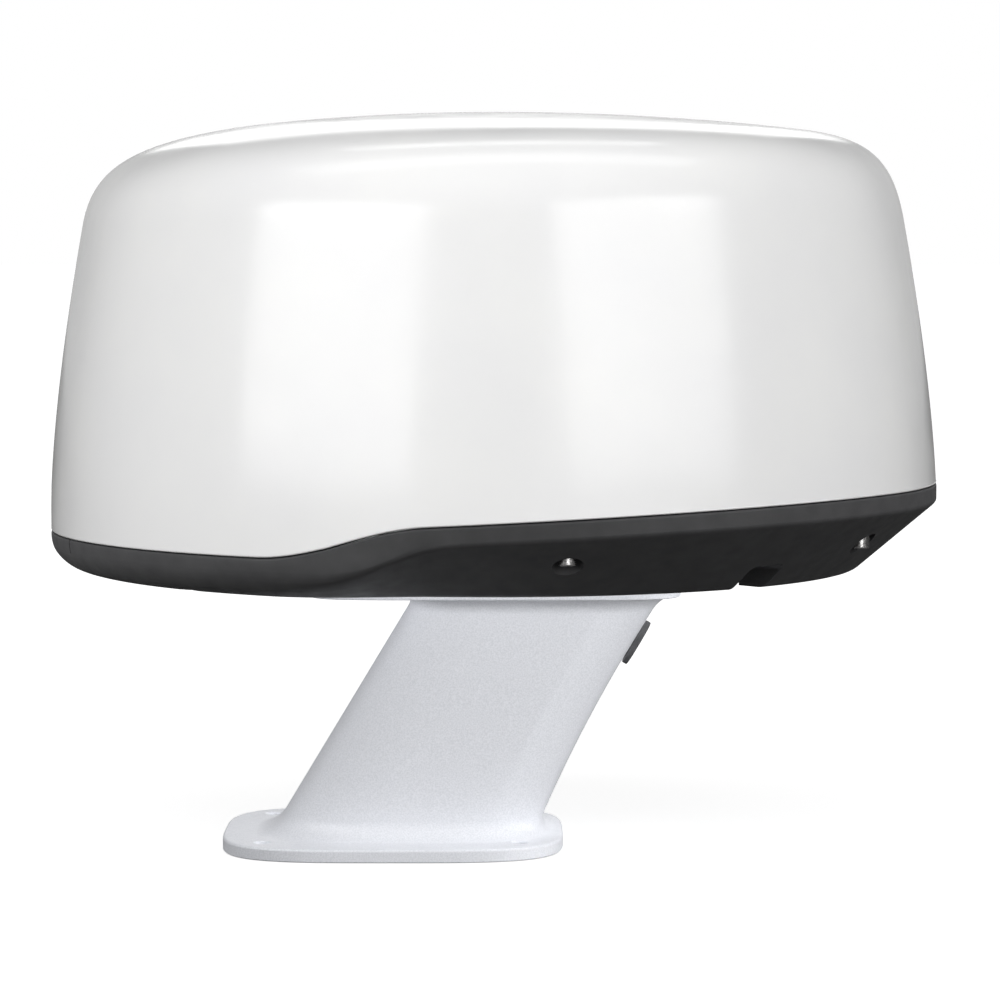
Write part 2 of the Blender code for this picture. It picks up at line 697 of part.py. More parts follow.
def make_tower():
    flange_top = FLOOR_Z - GAP
    flange_bottom = flange_top - FLANGE_THICKNESS
    length, width, edge = PLATE_HALF_LENGTH, PLATE_HALF_WIDTH, 1.2
    plate = loft(
        [
            squircle(PLATE_CENTRE_X, length, width, 0),
            squircle(PLATE_CENTRE_X, length, width, PLATE_THICKNESS - edge),
            squircle(PLATE_CENTRE_X, length - edge, width - edge, PLATE_THICKNESS),
        ]
    )
    tower = add_object("tower", plate, POWDER_WHITE)
    heights = [PLATE_THICKNESS - 2]
    heights += [PLATE_THICKNESS + MAST_FILLET * t for t in (0.0, 0.12, 0.35, 0.65, 1.0)]
    heights += [45, 80, 115]
    pad_bottom = flange_bottom - PAD_THICKNESS
    heights += [pad_bottom - HEAD_FILLET * t for t in (1.0, 0.6, 0.3, 0.1)] + [pad_bottom + 2]
    rings = []
    for z in heights:
        foot = fillet_growth(max(z - PLATE_THICKNESS, 0.05 * MAST_FILLET), MAST_FILLET)
        head = fillet_growth(max(pad_bottom - z, 0.5), HEAD_FILLET)
        rings.append(mast_section(z, foot + head))
    combine(tower, add_object("mast", loft(rings)), "UNION")
    pad_heights = (pad_bottom, flange_bottom + 2)
    pad = loft([squircle(PAD_CENTRE_X, PAD_HALF_LENGTH, PAD_HALF_WIDTH, z, 6) for z in pad_heights])
    combine(tower, add_object("head_pad", pad), "UNION")
    flange = loft(
        [squircle(0, FLANGE_HALF_LENGTH, FLANGE_HALF_WIDTH, z, 6) for z in (flange_bottom, flange_top)]
    )
    combine(tower, add_object("top_flange", flange), "UNION")
    duct = [mast_section(z, -MAST_WALL) for z in (-2, 40, 80, 115, flange_bottom - 4)]
    combine(tower, add_object("cable_duct", loft(duct)))
    holes = [cylinder(FLANGE_HOLE_RADIUS, flange_bottom - 8, flange_top + 2, FLANGE_HOLE_X, 0, 24)]
    for x, y in corners(DECK_BOLT_X, DECK_BOLT_Y, PLATE_CENTRE_X):
        holes.append(cylinder(DECK_BOLT_RADIUS, -2, PLATE_THICKNESS + 30, x, y, 14))
    for x, y in corners(RADOME_BOLT_X, RADOME_BOLT_Y):
        holes.append(cylinder(RADOME_BOLT_HOLE, flange_bottom - 3, flange_top + 3, x, y, 12))
    combine(tower, add_object("tower_holes", merged(*holes)))
    hole = grommet_loft([(*GROMMET_HOLE, -12), (*GROMMET_HOLE, 6)])
    combine(tower, add_object("grommet_hole", hole))


def grommet_loft(stations):
    """A rounded plug along the outward normal of the mast's aft face, from its sections."""
    shape = loft([squircle(0, height, width, z, 2.6, 20) for height, width, z in stations])
    place = Matrix.Translation((mast_back(GROMMET_Z), 0, GROMMET_Z))
    turn = Matrix.Rotation(math.pi / 2 + GROMMET_LEAN, 4, "Y")
    bmesh.ops.transform(shape, verts=shape.verts, matrix=place @ turn)
    return shape


def make_grommet():
    """A rubber plug whose flange covers the hole and whose tapered body fills it."""
    stations = [
        (*GROMMET_FLANGE, GROMMET_STAND),
        (*GROMMET_FLANGE, 1.2),
        (*GROMMET_BODY, 1.2),
        (*GROMMET_BODY, -7.5),
        (*GROMMET_TIP, -9.0),
    ]
    add_object("cable_grommet", grommet_loft(stations), RUBBER_BLACK)


# ---------------------------------------------------------------- drive


def make_chassis():
    bore = 9.0
    profile = [
        (bore, CHASSIS_TOP),
        (CHASSIS_RADIUS, CHASSIS_TOP),
        (CHASSIS_RADIUS, CHASSIS_Z),
        (bore, CHASSIS_Z),
    ]
    chassis = turned("chassis_plate", profile, ALUMINIUM, segments=40)
    holes = [cylinder(COAX_HOLE, CHASSIS_Z - 2, CHASSIS_TOP + 2, COAX_X, 0, 10)]
    for x, y in corners(CHASSIS_POST_X, CHASSIS_POST_Y):
        holes.append(cylinder(CHASSIS_SCREW_HOLE, CHASSIS_Z - 2, CHASSIS_TOP + 2, x, y, 12))
    combine(chassis, add_object("chassis_holes", merged(*holes)))


def make_post():
    seat = LOWER_BEARING_Z - GAP
    base = CHASSIS_TOP + GAP
    profile = [
        (POST_RADIUS, POST_TOP),
        (POST_RADIUS, seat),
        (POST_SHOULDER_RADIUS, seat),
        (POST_SHOULDER_RADIUS, base + POST_FOOT_HEIGHT),
        (POST_FOOT_RADIUS, base + POST_FOOT_HEIGHT),
        (POST_FOOT_RADIUS, base),
        (POST_BORE, base),
        (POST_BORE, POST_TOP),
    ]
    turned("bearing_post", profile, ALUMINIUM)
    for name, z in (("lower_bearing", LOWER_BEARING_Z), ("upper_bearing", UPPER_BEARING_Z)):
        top = z + BEARING_HEIGHT
        inner, outer = POST_RADIUS + GAP, BEARING_RADIUS
        profile = [(inner, top), (outer, top), (outer, z), (inner, z)]
        turned(name, profile, STAINLESS)
    ring_z = UPPER_BEARING_Z + BEARING_HEIGHT + GAP
    inner, outer = POST_RADIUS + GAP, POST_SHOULDER_RADIUS
    profile = [(inner, ring_z + 1.2), (outer, ring_z + 1.2), (outer, ring_z), (inner, ring_z)]
    turned("retaining_ring", profile, STAINLESS)


def make_turntable():
    bore = BEARING_RADIUS + GAP
    lower_top = LOWER_BEARING_Z + BEARING_HEIGHT + GAP
    upper_base = UPPER_BEARING_Z - GAP
    upper_top = UPPER_BEARING_Z + BEARING_HEIGHT + GAP
    plate_bottom, plate_top = HUB_PLATE_Z
    profile = [
        (HUB_LIP_RADIUS, BRACKET_Z - GAP),
        (HUB_RADIUS, BRACKET_Z - GAP),
        (HUB_RADIUS, plate_top),
        (HUB_PLATE_RADIUS, plate_top),
        (HUB_PLATE_RADIUS, plate_bottom),
        (HUB_RADIUS, plate_bottom),
        (HUB_RADIUS, LOWER_BEARING_Z + 0.5),
        (bore, LOWER_BEARING_Z + 0.5),
        (bore, lower_top),
        (16, lower_top),
        (16, upper_base),
        (bore, upper_base),
        (bore, upper_top),
        (HUB_LIP_RADIUS, upper_top),
    ]
    hub = turned("turntable_hub", profile, ALUMINIUM)
    holes = []
    for number in range(1, 4):
        x, y, _ = polar(BRACKET_SCREW_CIRCLE, 120 * number, 0)
        holes.append(cylinder(BRACKET_SCREW_HOLE, 249.4, BRACKET_Z + 1, x, y, 8))
    combine(hub, add_object("hub_holes", merged(*holes)))
    pulley = pulley_profile(HUB_RADIUS + GAP, DRIVEN_RADIUS, 1.8)
    turned("driven_pulley", pulley, PLASTIC_BLACK, segments=32)
    top = plate_bottom - GAP
    magnet = [(0, top), (MAGNET_RADIUS, top), (MAGNET_RADIUS, top - 2.5), (0, top - 2.5)]
    turned("index_magnet", magnet, STAINLESS, (0, MAGNET_Y), 12)


def pulley_profile(bore, tread, base):
    """A pulley with a lip over and under its tread. The base is how far it reaches under the belt."""
    belt_top = BELT_Z + BELT_HEIGHT
    lip = tread + PULLEY_LIP
    return [
        (bore, belt_top + 1.8),
        (lip, belt_top + 1.8),
        (lip, belt_top + 0.5),
        (tread, belt_top + 0.5),
        (tread, BELT_Z - 0.5),
        (lip, BELT_Z - 0.5),
        (lip, BELT_Z - base),
        (bore, BELT_Z - base),
    ]


def make_motor():
    half = MOTOR_SIZE / 2
    base = CHASSIS_TOP + GAP
    motor = box((MOTOR_X - half, -half, base), (MOTOR_X + half, half, MOTOR_TOP), bevel=3.0)
    motor = add_object("stepper_motor", motor, MOTOR_BLACK)
    bore = cylinder(MOTOR_BORE, MOTOR_TOP - 6, MOTOR_TOP + 2, MOTOR_X, 0)
    combine(motor, add_object("motor_bore", bore))
    shaft_end = MOTOR_TOP - 5
    shaft = [(0, SHAFT_TOP), (SHAFT_RADIUS, SHAFT_TOP), (SHAFT_RADIUS, shaft_end), (0, shaft_end)]
    turned("motor_shaft", shaft, STAINLESS, (MOTOR_X, 0), 12)
    pulley = pulley_profile(SHAFT_RADIUS + GAP, MOTOR_PULLEY_RADIUS, 2.2)
    turned("motor_pulley", pulley, ALUMINIUM, (MOTOR_X, 0), 16)
    make_motor_bracket()


def make_motor_bracket():
    """A sheet over the motor on two legs with feet."""
    base = CHASSIS_TOP + GAP
    under = MOTOR_TOP + GAP
    top = under + MOTOR_SHEET
    reach = MOTOR_SIZE / 2 + 1.5
    plate_half = 20.0
    foot_half = 16.0
    plate = box((MOTOR_X - plate_half, -reach, under), (MOTOR_X + plate_half, reach, top))
    bracket = add_object("motor_bracket", plate, ALUMINIUM)
    for side in (-1, 1):
        inner, outer = side * (reach - 0.5), side * (reach + MOTOR_SHEET + 0.5)
        y0, y1 = min(inner, outer), max(inner, outer)
        leg = box((MOTOR_X - plate_half, y0, base), (MOTOR_X + plate_half, y1, top))
        combine(bracket, add_object(f"bracket_leg_{side + 2}", leg), "UNION")
        inner, outer = side * reach, side * (reach + foot_half)
        y0, y1 = min(inner, outer), max(inner, outer)
        foot = box((MOTOR_X - foot_half, y0, base), (MOTOR_X + foot_half, y1, base + 3.5))
        combine(bracket, add_object(f"bracket_foot_{side + 2}", foot), "UNION")
    combine(bracket, add_object("motor_boss_hole", cylinder(11, MOTOR_TOP, top + 1, MOTOR_X, 0)))


def belt_path(offset, steps=20):
    """(x, y) points round both pulleys, standing off their treads by the offset."""
    large, small = DRIVEN_RADIUS + offset, MOTOR_PULLEY_RADIUS + offset
    contact = math.acos((large - small) / MOTOR_X)
    path = []
    for step in range(steps + 1):
        angle = blend(contact, 2 * math.pi - contact, step / steps)
        path.append((large * math.cos(angle), large * math.sin(angle)))
    for step in range(steps // 2 + 1):
        angle = blend(-contact, contact, step / (steps // 2))
        path.append((MOTOR_X + small * math.cos(angle), small * math.sin(angle)))
    return path


def make_belt():
    inner = belt_path(GAP)
    outer = belt_path(GAP + BELT_THICKNESS)
    top = BELT_Z + BELT_HEIGHT
    rings = [
        [(x, y, BELT_Z) for x, y in inner],
        [(x, y, top) for x, y in inner],
        [(x, y, top) for x, y in outer],
        [(x, y, BELT_Z) for x, y in outer],
    ]
    add_object("drive_belt", loft(rings, closed=True), RUBBER_BLACK)


# ---------------------------------------------------------------- antenna and electronics


def make_antenna():
    base = box((-17.7, -32, BRACKET_Z), (30, 32, BRACKET_Z + BRACKET_SHEET))
    bracket = add_object("antenna_bracket", base, ALUMINIUM)
    back = ARRAY_BACK_X + GAP
    upright = box((back, -50, BRACKET_Z), (back + BRACKET_SHEET, 50, ARRAY_TOP - 8))
    combine(bracket, add_object("bracket_upright", upright), "UNION")
    openings = [cylinder(11.4, BRACKET_Z - 2, BRACKET_Z + 5, 0, 0, 20)]
    for number in range(1, 4):
        x, y, _ = polar(BRACKET_SCREW_CIRCLE, 120 * number, 0)
        openings.append(cylinder(BRACKET_SCREW_HOLE, BRACKET_Z - 2, BRACKET_Z + 5, x, y, 8))
    openings.append(box((back - 2, -6, 296), (back + 5, 6, 312)))
    combine(bracket, add_object("bracket_openings", merged(*openings)))

    front = ARRAY_BACK_X - ARRAY_DEPTH
    tray = box((front, -ARRAY_HALF_WIDTH, ARRAY_BOTTOM), (ARRAY_BACK_X, ARRAY_HALF_WIDTH, ARRAY_TOP))
    tray = add_object("array_tray", tray, ALUMINIUM)
    hollow = box(
        (front - 2, -ARRAY_HALF_WIDTH + ARRAY_RIM, ARRAY_BOTTOM + ARRAY_RIM),
        (ARRAY_BACK_X - ARRAY_RIM, ARRAY_HALF_WIDTH - ARRAY_RIM, ARRAY_TOP - ARRAY_RIM),
    )
    combine(tray, add_object("tray_hollow", hollow))
    combine(tray, add_object("tray_feed_hole", box((-24, -5, 298), (-16, 5, 310))))
    make_array_board(front - GAP)


def make_array_board(back):
    """The circuit board of the antenna, with rows of square patches on its face."""
    thickness = 2.0
    low = (back - thickness, -ARRAY_HALF_WIDTH, ARRAY_BOTTOM)
    high = (back, ARRAY_HALF_WIDTH, ARRAY_TOP)
    bm = box(low, high)
    for count, axis in ((ARRAY_COLUMNS, 1), (ARRAY_ROWS, 2)):
        for step in range(1, count):
            point = [back, 0, 0]
            point[axis] = blend(low[axis], high[axis], step / count)
            normal = [0, 0, 0]
            normal[axis] = 1
            geometry = bm.verts[:] + bm.edges[:] + bm.faces[:]
            bmesh.ops.bisect_plane(bm, geom=geometry, plane_co=point, plane_no=normal)
    front = [face for face in bm.faces if face.normal.x < -0.9]
    bmesh.ops.inset_individual(bm, faces=front, thickness=PATCH_MARGIN, depth=PATCH_HEIGHT)
    add_object("array_board", bm, BOARD_GREEN)


def tube(name, points, radius, material):
    """A cable along a smooth curve through hand-placed points."""
    curve = bpy.data.curves.new(name, "CURVE")
    curve.dimensions = "3D"
    curve.bevel_depth = radius * MM
    curve.bevel_resolution = 2
    curve.use_fill_caps = True
    smooth = smoothed([Vector(point) for point in points], 2)
    spline = curve.splines.new("POLY")
    spline.points.add(len(smooth) - 1)
    for target, point in zip(spline.points, smooth):
        target.co = (*(point * MM), 1)
    obj = bpy.data.objects.new(name, curve)
    curve.materials.append(material)
    PARTS.objects.link(obj)


def smoothed(points, steps):
    """Catmull-Rom points through the given ones."""
    padded = [points[0] * 2 - points[1], *points, points[-1] * 2 - points[-2]]
    result = []
    for a, b, c, d in zip(padded, padded[1:], padded[2:], padded[3:]):
        for step in range(steps):
            t = step / steps
            square = (a * 2 - b * 5 + c * 4 - d) * t**2
            cube = (b * 3 - a - c * 3 + d) * t**3
            result.append((b * 2 + (c - a) * t + square + cube) / 2)
    return result + [points[-1]]


def make_rotary_joint():
    stator = [(0, 262), (6.5, 262), (6.5, 180), (0, 180)]
    turned("rotary_joint_stator", stator, COPPER, segments=16)
    rotor = [(0, 270), (11, 270), (11, 256.8), (6.9, 256.8), (6.9, 262.4), (0, 262.4)]
    turned("rotary_joint_rotor", rotor, COPPER, segments=16)
    feed = [(0, 0, 270.3), (0, 0, 280), (-1.5, 0, 291), (-7, 0, 301), (-15, 0, 304), (-25, 0, 304)]
    tube("array_feed_cable", feed, 1.5, PLASTIC_BLACK)
    coax = [
        (0, 0, 179.7),
        (0, 0, 176),
        (-5, 0, 171.5),
        (-20, 0, 170),
        (-60, 0, 170),
        (-100, 0, 170),
        (COAX_X + 5, 0, 172),
        (COAX_X, 0, 178),
        (COAX_X, 0, 188),
    ]
    tube("transceiver_coax", coax, 1.8, PLASTIC_BLACK)


def make_electronics():
    base = CHASSIS_TOP + GAP
    low = (CASE_LOW_X, -CASE_HALF_WIDTH, base)
    high = (CASE_HIGH_X, CASE_HALF_WIDTH, CASE_TOP)
    case = add_object("transceiver_case", box(low, high), ALUMINIUM)
    inner_low = [value + CASE_WALL for value in low]
    inner_high = (high[0] - CASE_WALL, high[1] - CASE_WALL, CASE_TOP + 8)
    combine(case, add_object("case_inside", box(inner_low, inner_high)))
    combine(case, add_object("case_coax_hole", cylinder(COAX_HOLE, base - 2, base + 5, COAX_X, 0, 10)))
    lid_z = CASE_TOP + GAP
    add_object("transceiver_lid", box((*low[:2], lid_z), (*high[:2], lid_z + CASE_WALL)), ALUMINIUM)
    board_z = CASE_BOARD_Z
    board = box((low[0] + 5, low[1] + 5, board_z), (high[0] - 5, high[1] - 5, board_z + BOARD_THICKNESS))
    board = add_object("transceiver_board", board, BOARD_GREEN)
    chips = [
        box((-160, -35, 197), (-135, -10, 201)),
        box((-125, 5, 197), (-95, 30, 200)),
        box((-120, -40, 197), (-85, -20, 204)),
    ]
    combine(board, add_object("transceiver_chips", merged(*chips)), "UNION")
    board = box((-45, 62, base + 3), (45, 128, base + 3 + BOARD_THICKNESS))
    power = add_object("power_board", board, BOARD_GREEN)
    chips = [
        cylinder(8, base + 4, base + 24, -30, 80, 16),
        cylinder(8, base + 4, base + 24, -30, 104, 16),
        box((-10, 72, base + 4), (12, 96, base + 18)),
        box((20, 70, base + 4), (38, 120, base + 14)),
    ]
    combine(power, add_object("power_components", merged(*chips)), "UNION")
    feet = [cylinder(3, base, base + 4, x, y, 10) for x in (-41, 41) for y in (66, 124)]
    combine(power, add_object("power_board_feet", merged(*feet)), "UNION")
    sensor = box((-6, 31, base), (6, 37, 222.6), bevel=0.8)
    add_object("index_sensor", sensor, PLASTIC_BLACK)


def main():
    make_tower()
    make_grommet()
    make_lower_housing()
    make_dome()
    make_dome_seal()
    make_fasteners()
    make_sockets()
    make_chassis()
    make_post()
    make_turntable()
    make_motor()
    make_belt()
    make_antenna()
    make_rotary_joint()
    make_electronics()


main()
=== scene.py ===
"""Looks of the radar dome antenna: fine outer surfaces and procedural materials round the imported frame.

+X is aft, -Y is the port side and +Z is up. Lengths here are in millimetres unless a name says
otherwise, and add_piece makes them metres.
"""

import json
import math

import bmesh
import bpy
from mathutils import Matrix, Vector

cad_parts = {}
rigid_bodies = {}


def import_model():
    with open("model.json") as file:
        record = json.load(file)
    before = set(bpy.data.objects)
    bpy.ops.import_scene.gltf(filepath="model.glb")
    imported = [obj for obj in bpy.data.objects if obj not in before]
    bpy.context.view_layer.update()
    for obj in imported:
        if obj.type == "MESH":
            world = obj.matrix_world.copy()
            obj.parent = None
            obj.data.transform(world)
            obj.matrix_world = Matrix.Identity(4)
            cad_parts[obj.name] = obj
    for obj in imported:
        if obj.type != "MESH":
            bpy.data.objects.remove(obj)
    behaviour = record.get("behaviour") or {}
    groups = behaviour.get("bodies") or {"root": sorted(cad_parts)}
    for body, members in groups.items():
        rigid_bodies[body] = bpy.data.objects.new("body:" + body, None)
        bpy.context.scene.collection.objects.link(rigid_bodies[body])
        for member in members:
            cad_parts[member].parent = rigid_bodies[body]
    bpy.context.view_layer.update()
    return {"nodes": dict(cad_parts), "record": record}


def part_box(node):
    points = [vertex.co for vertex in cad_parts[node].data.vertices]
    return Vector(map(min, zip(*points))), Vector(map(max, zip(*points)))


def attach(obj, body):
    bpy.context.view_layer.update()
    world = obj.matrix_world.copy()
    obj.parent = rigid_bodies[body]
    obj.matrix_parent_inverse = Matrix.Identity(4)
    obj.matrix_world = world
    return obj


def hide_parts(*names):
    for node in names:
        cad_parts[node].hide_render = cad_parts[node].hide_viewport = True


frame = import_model()

MM = 0.001
GAP = 0.3  # clearance between neighbouring pieces

# Radome
RIM_RADIUS = 254.0
FLOOR_Z = 161.0  # flat underside of the lower housing
CROWN_Z = 420.5
CROWN_END_RADIUS = 12.0  # radius of the small flat at the very top
WALL_FOOT_Z = 200.0  # below this height the wall of the dome is upright
WALL_TAPER = 0.00975
DOME_WALL = 4.5
HOUSING_WALL = 4.0
CORNER_BOW_Z = 400.0  # height at which wall and crown would meet without a shoulder
CORNER_AFT_Z = 404.0
SHOULDER_DROP = 42.0  # length of wall that the shoulder curve takes up
SHOULDER_BOW_RUN = 85.0  # length of crown that it takes up
SHOULDER_AFT_RUN = 45.0
SHOULDER_PULL = 0.75
FOOT_EDGE = 1.1  # round edge at the foot of the dome
INNER_FOOT_EDGE = 0.4
AZIMUTH_STEPS = 288

# Seal between dome and housing
SEAL_HEIGHT = 3.5
SEAL_INNER_RADIUS = 244.4
SEAL_OUTER_RADIUS = 248.3
SEAL_EDGE = 0.6

# Line between dome and housing: heights, and azimuths from the bow
PARTING_BOW_Z = 183.0
PARTING_RISE = 27.0
SWEEP_START = 61.0
SWEEP_RUN = 21.0
SWEEP_SHARE = 0.55  # share of the rise that the short sweep takes
TAIL_START = 70.0
TAIL_RUN = 80.0

# Lower housing: a bowl at the bow, an upright band over a slanting undercut aft
UNDERCUT_START = 64.0
UNDERCUT_RUN = 22.0
BAND_HEIGHT = 10.0
BOWL_SIDE_Z = 179.0
BOWL_INNER_SIDE_Z = 181.0
BOWL_SIDE_RADIUS = 252.6
BOWL_EDGE_Z = 167.0
BOWL_EDGE_RADIUS = 247.5
BOWL_FLOOR_RADIUS = 233.0
AFT_FLOOR_RADIUS = 208.0
FLOOR_SHIFT_START = 60.0
BOWL_EDGE_ROUND = 8.0
BAND_EDGE_ROUND = 2.6
LIP_WIDTH = 10.0
BOSS_SKIN = 1.2  # wall left between a boss and the outer face
MARK_AZIMUTHS = (-157.2, 157.2)  # small marks in the band, as azimuths from aft
MARK_HALF_WIDTH = 0.45

# Dome screws, as azimuths from aft
SCREW_AZIMUTHS = (30, 80.5, 134, -134, -80.5, -30)
SCREW_CIRCLE = 232.0
SCREW_SEAT_AFT = 188.0
SCREW_SEAT_BOW = 170.0
SCREW_HEAD = (4.7, 8.0)  # radius and height
SCREW_SHANK = 2.3
SCREW_REACH = 13.0  # how far the screw runs into the dome above the seal
POCKET_CIRCLE = 233.0
POCKET_RADIUS = 8.4
POCKET_SQUEEZE = 0.786  # radial width of a pocket as a share of its length
HOUSING_BOSS_RADIUS = 11.0
HOUSING_SCREW_HOLE = 2.9
DOME_BOSS_RADII = (222.0, 250.5)
DOME_BOSS_HALF_WIDTH = 8.0
DOME_BOSS_HEIGHT = 18.0
DOME_SCREW_HOLE = 2.6
DOME_HOLE_DEPTH = 14.0

# Cable well in the underside, on the port quarter
WELL_AZIMUTH = -49.0
WELL_RADIUS = 158.0
WELL_LENGTH = 62.0
WELL_WIDTH = 50.0
WELL_CEILING = 175.0
WELL_CORNER = 3.0
WELL_BLOCK_RADII = (120.0, 216.0)
WELL_BLOCK_HALF_WIDTH = 30.0
NOTCH_WIDTH = 24.0
NOTCH_OUTER_RADIUS = 240.0
NOTCH_BEVEL = 4.0
SOCKET_HOLE = 6.3
SOCKET_SPACING = 12.5  # from the middle of the well to each socket
VENT_X = -40.0
VENT_Y = 120.0
VENT_HOLE = 5.3

# Mast mount
PLATE_CENTRE_X = -58.0
PLATE_HALF_LENGTH = 98.0
PLATE_HALF_WIDTH = 82.0
PLATE_THICKNESS = 7.5
PLATE_EDGE = 1.6
DECK_BOLT_X = 73.0  # half the spacing of the deck bolt holes
DECK_BOLT_Y = 55.0
DECK_BOLT_RADIUS = 4.5
DECK_BOLT_RIM = 6.1
FLANGE_HALF_LENGTH = 131.0
FLANGE_HALF_WIDTH = 84.0
FLANGE_THICKNESS = 5.0
PAD_CENTRE_X = 0.5  # thick pad under the top flange, on the head of the mast
PAD_HALF_LENGTH = 106.5
PAD_HALF_WIDTH = 60.0
PAD_THICKNESS = 10.2
FLANGE_HOLE_X = 30.0  # centre of the cable hole in the top flange
FLANGE_HOLE_RADIUS = 24.0
RADOME_BOLT_X = 116.5
RADOME_BOLT_Y = 70.75
RADOME_BOLT_HEAD = (6.5, 3.0)
RADOME_BOLT_SHANK = 3.9
RADOME_BOLT_TIP = 175.0
RADOME_BOLT_HOLE = 4.5
RADOME_INSERT_HOLE = 4.3
RADOME_BOSS_RADIUS = 9.0
RADOME_BOSS_TOP = 181.0
CHASSIS_POST_X = 60.0
CHASSIS_POST_Y = 150.0
CHASSIS_POST_RADIUS = 7.0
CHASSIS_POST_TOP = 184.7
CHASSIS_SCREW_HOLE = 2.3
MAST_FRONT_X = -132.0  # front of the mast at deck level
MAST_FRONT_LEAN = 0.602
MAST_BACK_X = 21.5
MAST_BACK_LEAN = 0.40
MAST_BACK_CURVE = 0.00087
MAST_FOOT_HALF_WIDTH = 51.0
MAST_HEAD_HALF_WIDTH = 46.0
MAST_WALL = 5.0
MAST_FILLET = 11.0
HEAD_FILLET = 9.0
RING_COUNT = 144

# Rubber grommet in the aft face of the mast
GROMMET_Z = 117.0
GROMMET_LEAN = math.atan(0.595)
GROMMET_HOLE = (11.0, 6.5)  # half height and half width
GROMMET_STATIONS = (  # half height, half width and height over the mast's face
    (9.4, 4.0, 3.4),
    (10.0, 4.6, 3.5),
    (10.6, 5.2, 4.15),
    (13.3, 7.8, 4.2),
    (13.75, 8.25, 4.1),
    (13.95, 8.45, 3.85),
    (14.0, 8.5, 3.5),
    (14.0, 8.5, 1.5),
    (13.7, 8.2, 1.2),
    (10.6, 6.1, 1.2),
    (10.6, 6.1, -7.5),
    (9.0, 4.5, -9.0),
)

# Stage, in metres
LAMP_AIM_Z = 0.3
FLOOR_SIZE = 60.0
FLOOR_NEAR = 0.4  # the floor grows brighter from here
FLOOR_FAR = 1.6
FLOOR_GLOW = 0.84
FLOOR_FAR_GLOW = 1.05
FLOOR_BOUNCE = 0.25
STUDIO_DIM = 0.06  # light of the studio all round, and low at the back
STUDIO_BACK = 0.42


# ---------------------------------------------------------------- materials


RANGE_SOCKETS = ("From Min", "From Max", "To Min", "To Max")


class Surface:
    """A Principled material and short calls for the nodes that vary it."""

    def __init__(self, name, colour, roughness, metallic=0.0, **sockets):
        self.material = bpy.data.materials.new(name)
        self.material.use_nodes = True
        self.nodes = self.material.node_tree.nodes
        self.links = self.material.node_tree.links
        self.shader = self.nodes["Principled BSDF"]
        self.set("Base Color", (*colour, 1.0))
        self.set("Roughness", roughness)
        self.set("Metallic", metallic)
        for socket, value in sockets.items():
            self.set(socket.replace("_", " "), value)
        self.place = self.nodes.new("ShaderNodeTexCoord").outputs["Object"]
        self.normal = None

    def set(self, socket, value):
        self.shader.inputs[socket].default_value = value

    def noise(self, size, detail=2.0, rough=0.5, stretch=None):
        """Noise whose features are about this many millimetres across."""
        node = self.nodes.new("ShaderNodeTexNoise")
        node.inputs["Scale"].default_value = 1.0 / (size * MM)
        node.inputs["Detail"].default_value = detail
        node.inputs["Roughness"].default_value = rough
        place = self.place
        if stretch:
            mapping = self.nodes.new("ShaderNodeMapping")
            mapping.inputs["Scale"].default_value = stretch
            self.links.new(place, mapping.inputs["Vector"])
            place = mapping.outputs["Vector"]
        self.links.new(place, node.inputs["Vector"])
        return node.outputs["Fac"]

    def cell_edges(self, size):
        """Distance to the edges of cells that are about this many millimetres across."""
        node = self.nodes.new("ShaderNodeTexVoronoi")
        node.feature = "DISTANCE_TO_EDGE"
        node.inputs["Scale"].default_value = 1.0 / (size * MM)
        self.links.new(self.place, node.inputs["Vector"])
        return node.outputs["Distance"]

    def remap(self, value, low, high, to_low, to_high):
        node = self.nodes.new("ShaderNodeMapRange")
        for socket, number in zip(RANGE_SOCKETS, (low, high, to_low, to_high)):
            node.inputs[socket].default_value = number
        self.links.new(value, node.inputs["Value"])
        return node.outputs["Result"]

    def vary_roughness(self, value, low, high):
        self.links.new(self.remap(value, 0.3, 0.7, low, high), self.shader.inputs["Roughness"])

    def vary_colour(self, value, dark, light, low=0.3, high=0.7):
        ramp = self.nodes.new("ShaderNodeValToRGB")
        ramp.color_ramp.elements[0].position = low
        ramp.color_ramp.elements[0].color = (*dark, 1.0)
        ramp.color_ramp.elements[1].position = high
        ramp.color_ramp.elements[1].color = (*light, 1.0)
        self.links.new(value, ramp.inputs["Fac"])
        self.links.new(ramp.outputs["Color"], self.shader.inputs["Base Color"])

    def bump(self, value, depth, strength=1.0):
        """Relief of this depth in millimetres. Later calls add to earlier ones."""
        node = self.nodes.new("ShaderNodeBump")
        node.inputs["Distance"].default_value = depth * MM
        node.inputs["Strength"].default_value = strength
        self.links.new(value, node.inputs["Height"])
        if self.normal:
            self.links.new(self.normal, node.inputs["Normal"])
        self.normal = node.outputs["Normal"]
        self.links.new(self.normal, self.shader.inputs["Normal"])


def dome_white():
    """Glossy moulded plastic with a faint orange peel."""
    s = Surface("dome_gloss", (0.80, 0.80, 0.80), 0.1, Coat_Weight=0.3, Coat_Roughness=0.13)
    s.vary_colour(s.noise(60, 3), (0.775, 0.775, 0.778), (0.80, 0.80, 0.795))
    s.vary_roughness(s.noise(35, 4), 0.16, 0.26)
    s.bump(s.noise(26, 1), 0.05, 0.35)
    s.bump(s.noise(3.2, 1), 0.004, 0.5)
    return s.material


def housing_grey():
    """Dark moulded plastic with a fine eroded texture."""
    s = Surface("housing_texture", (0.075, 0.075, 0.077), 0.45, Specular_IOR_Level=0.2)
    s.vary_colour(s.noise(14, 5), (0.066, 0.066, 0.068), (0.08, 0.08, 0.082))
    s.vary_roughness(s.noise(9, 4), 0.40, 0.52)
    s.bump(s.noise(0.55, 3, 0.6), 0.05, 0.6)
    return s.material


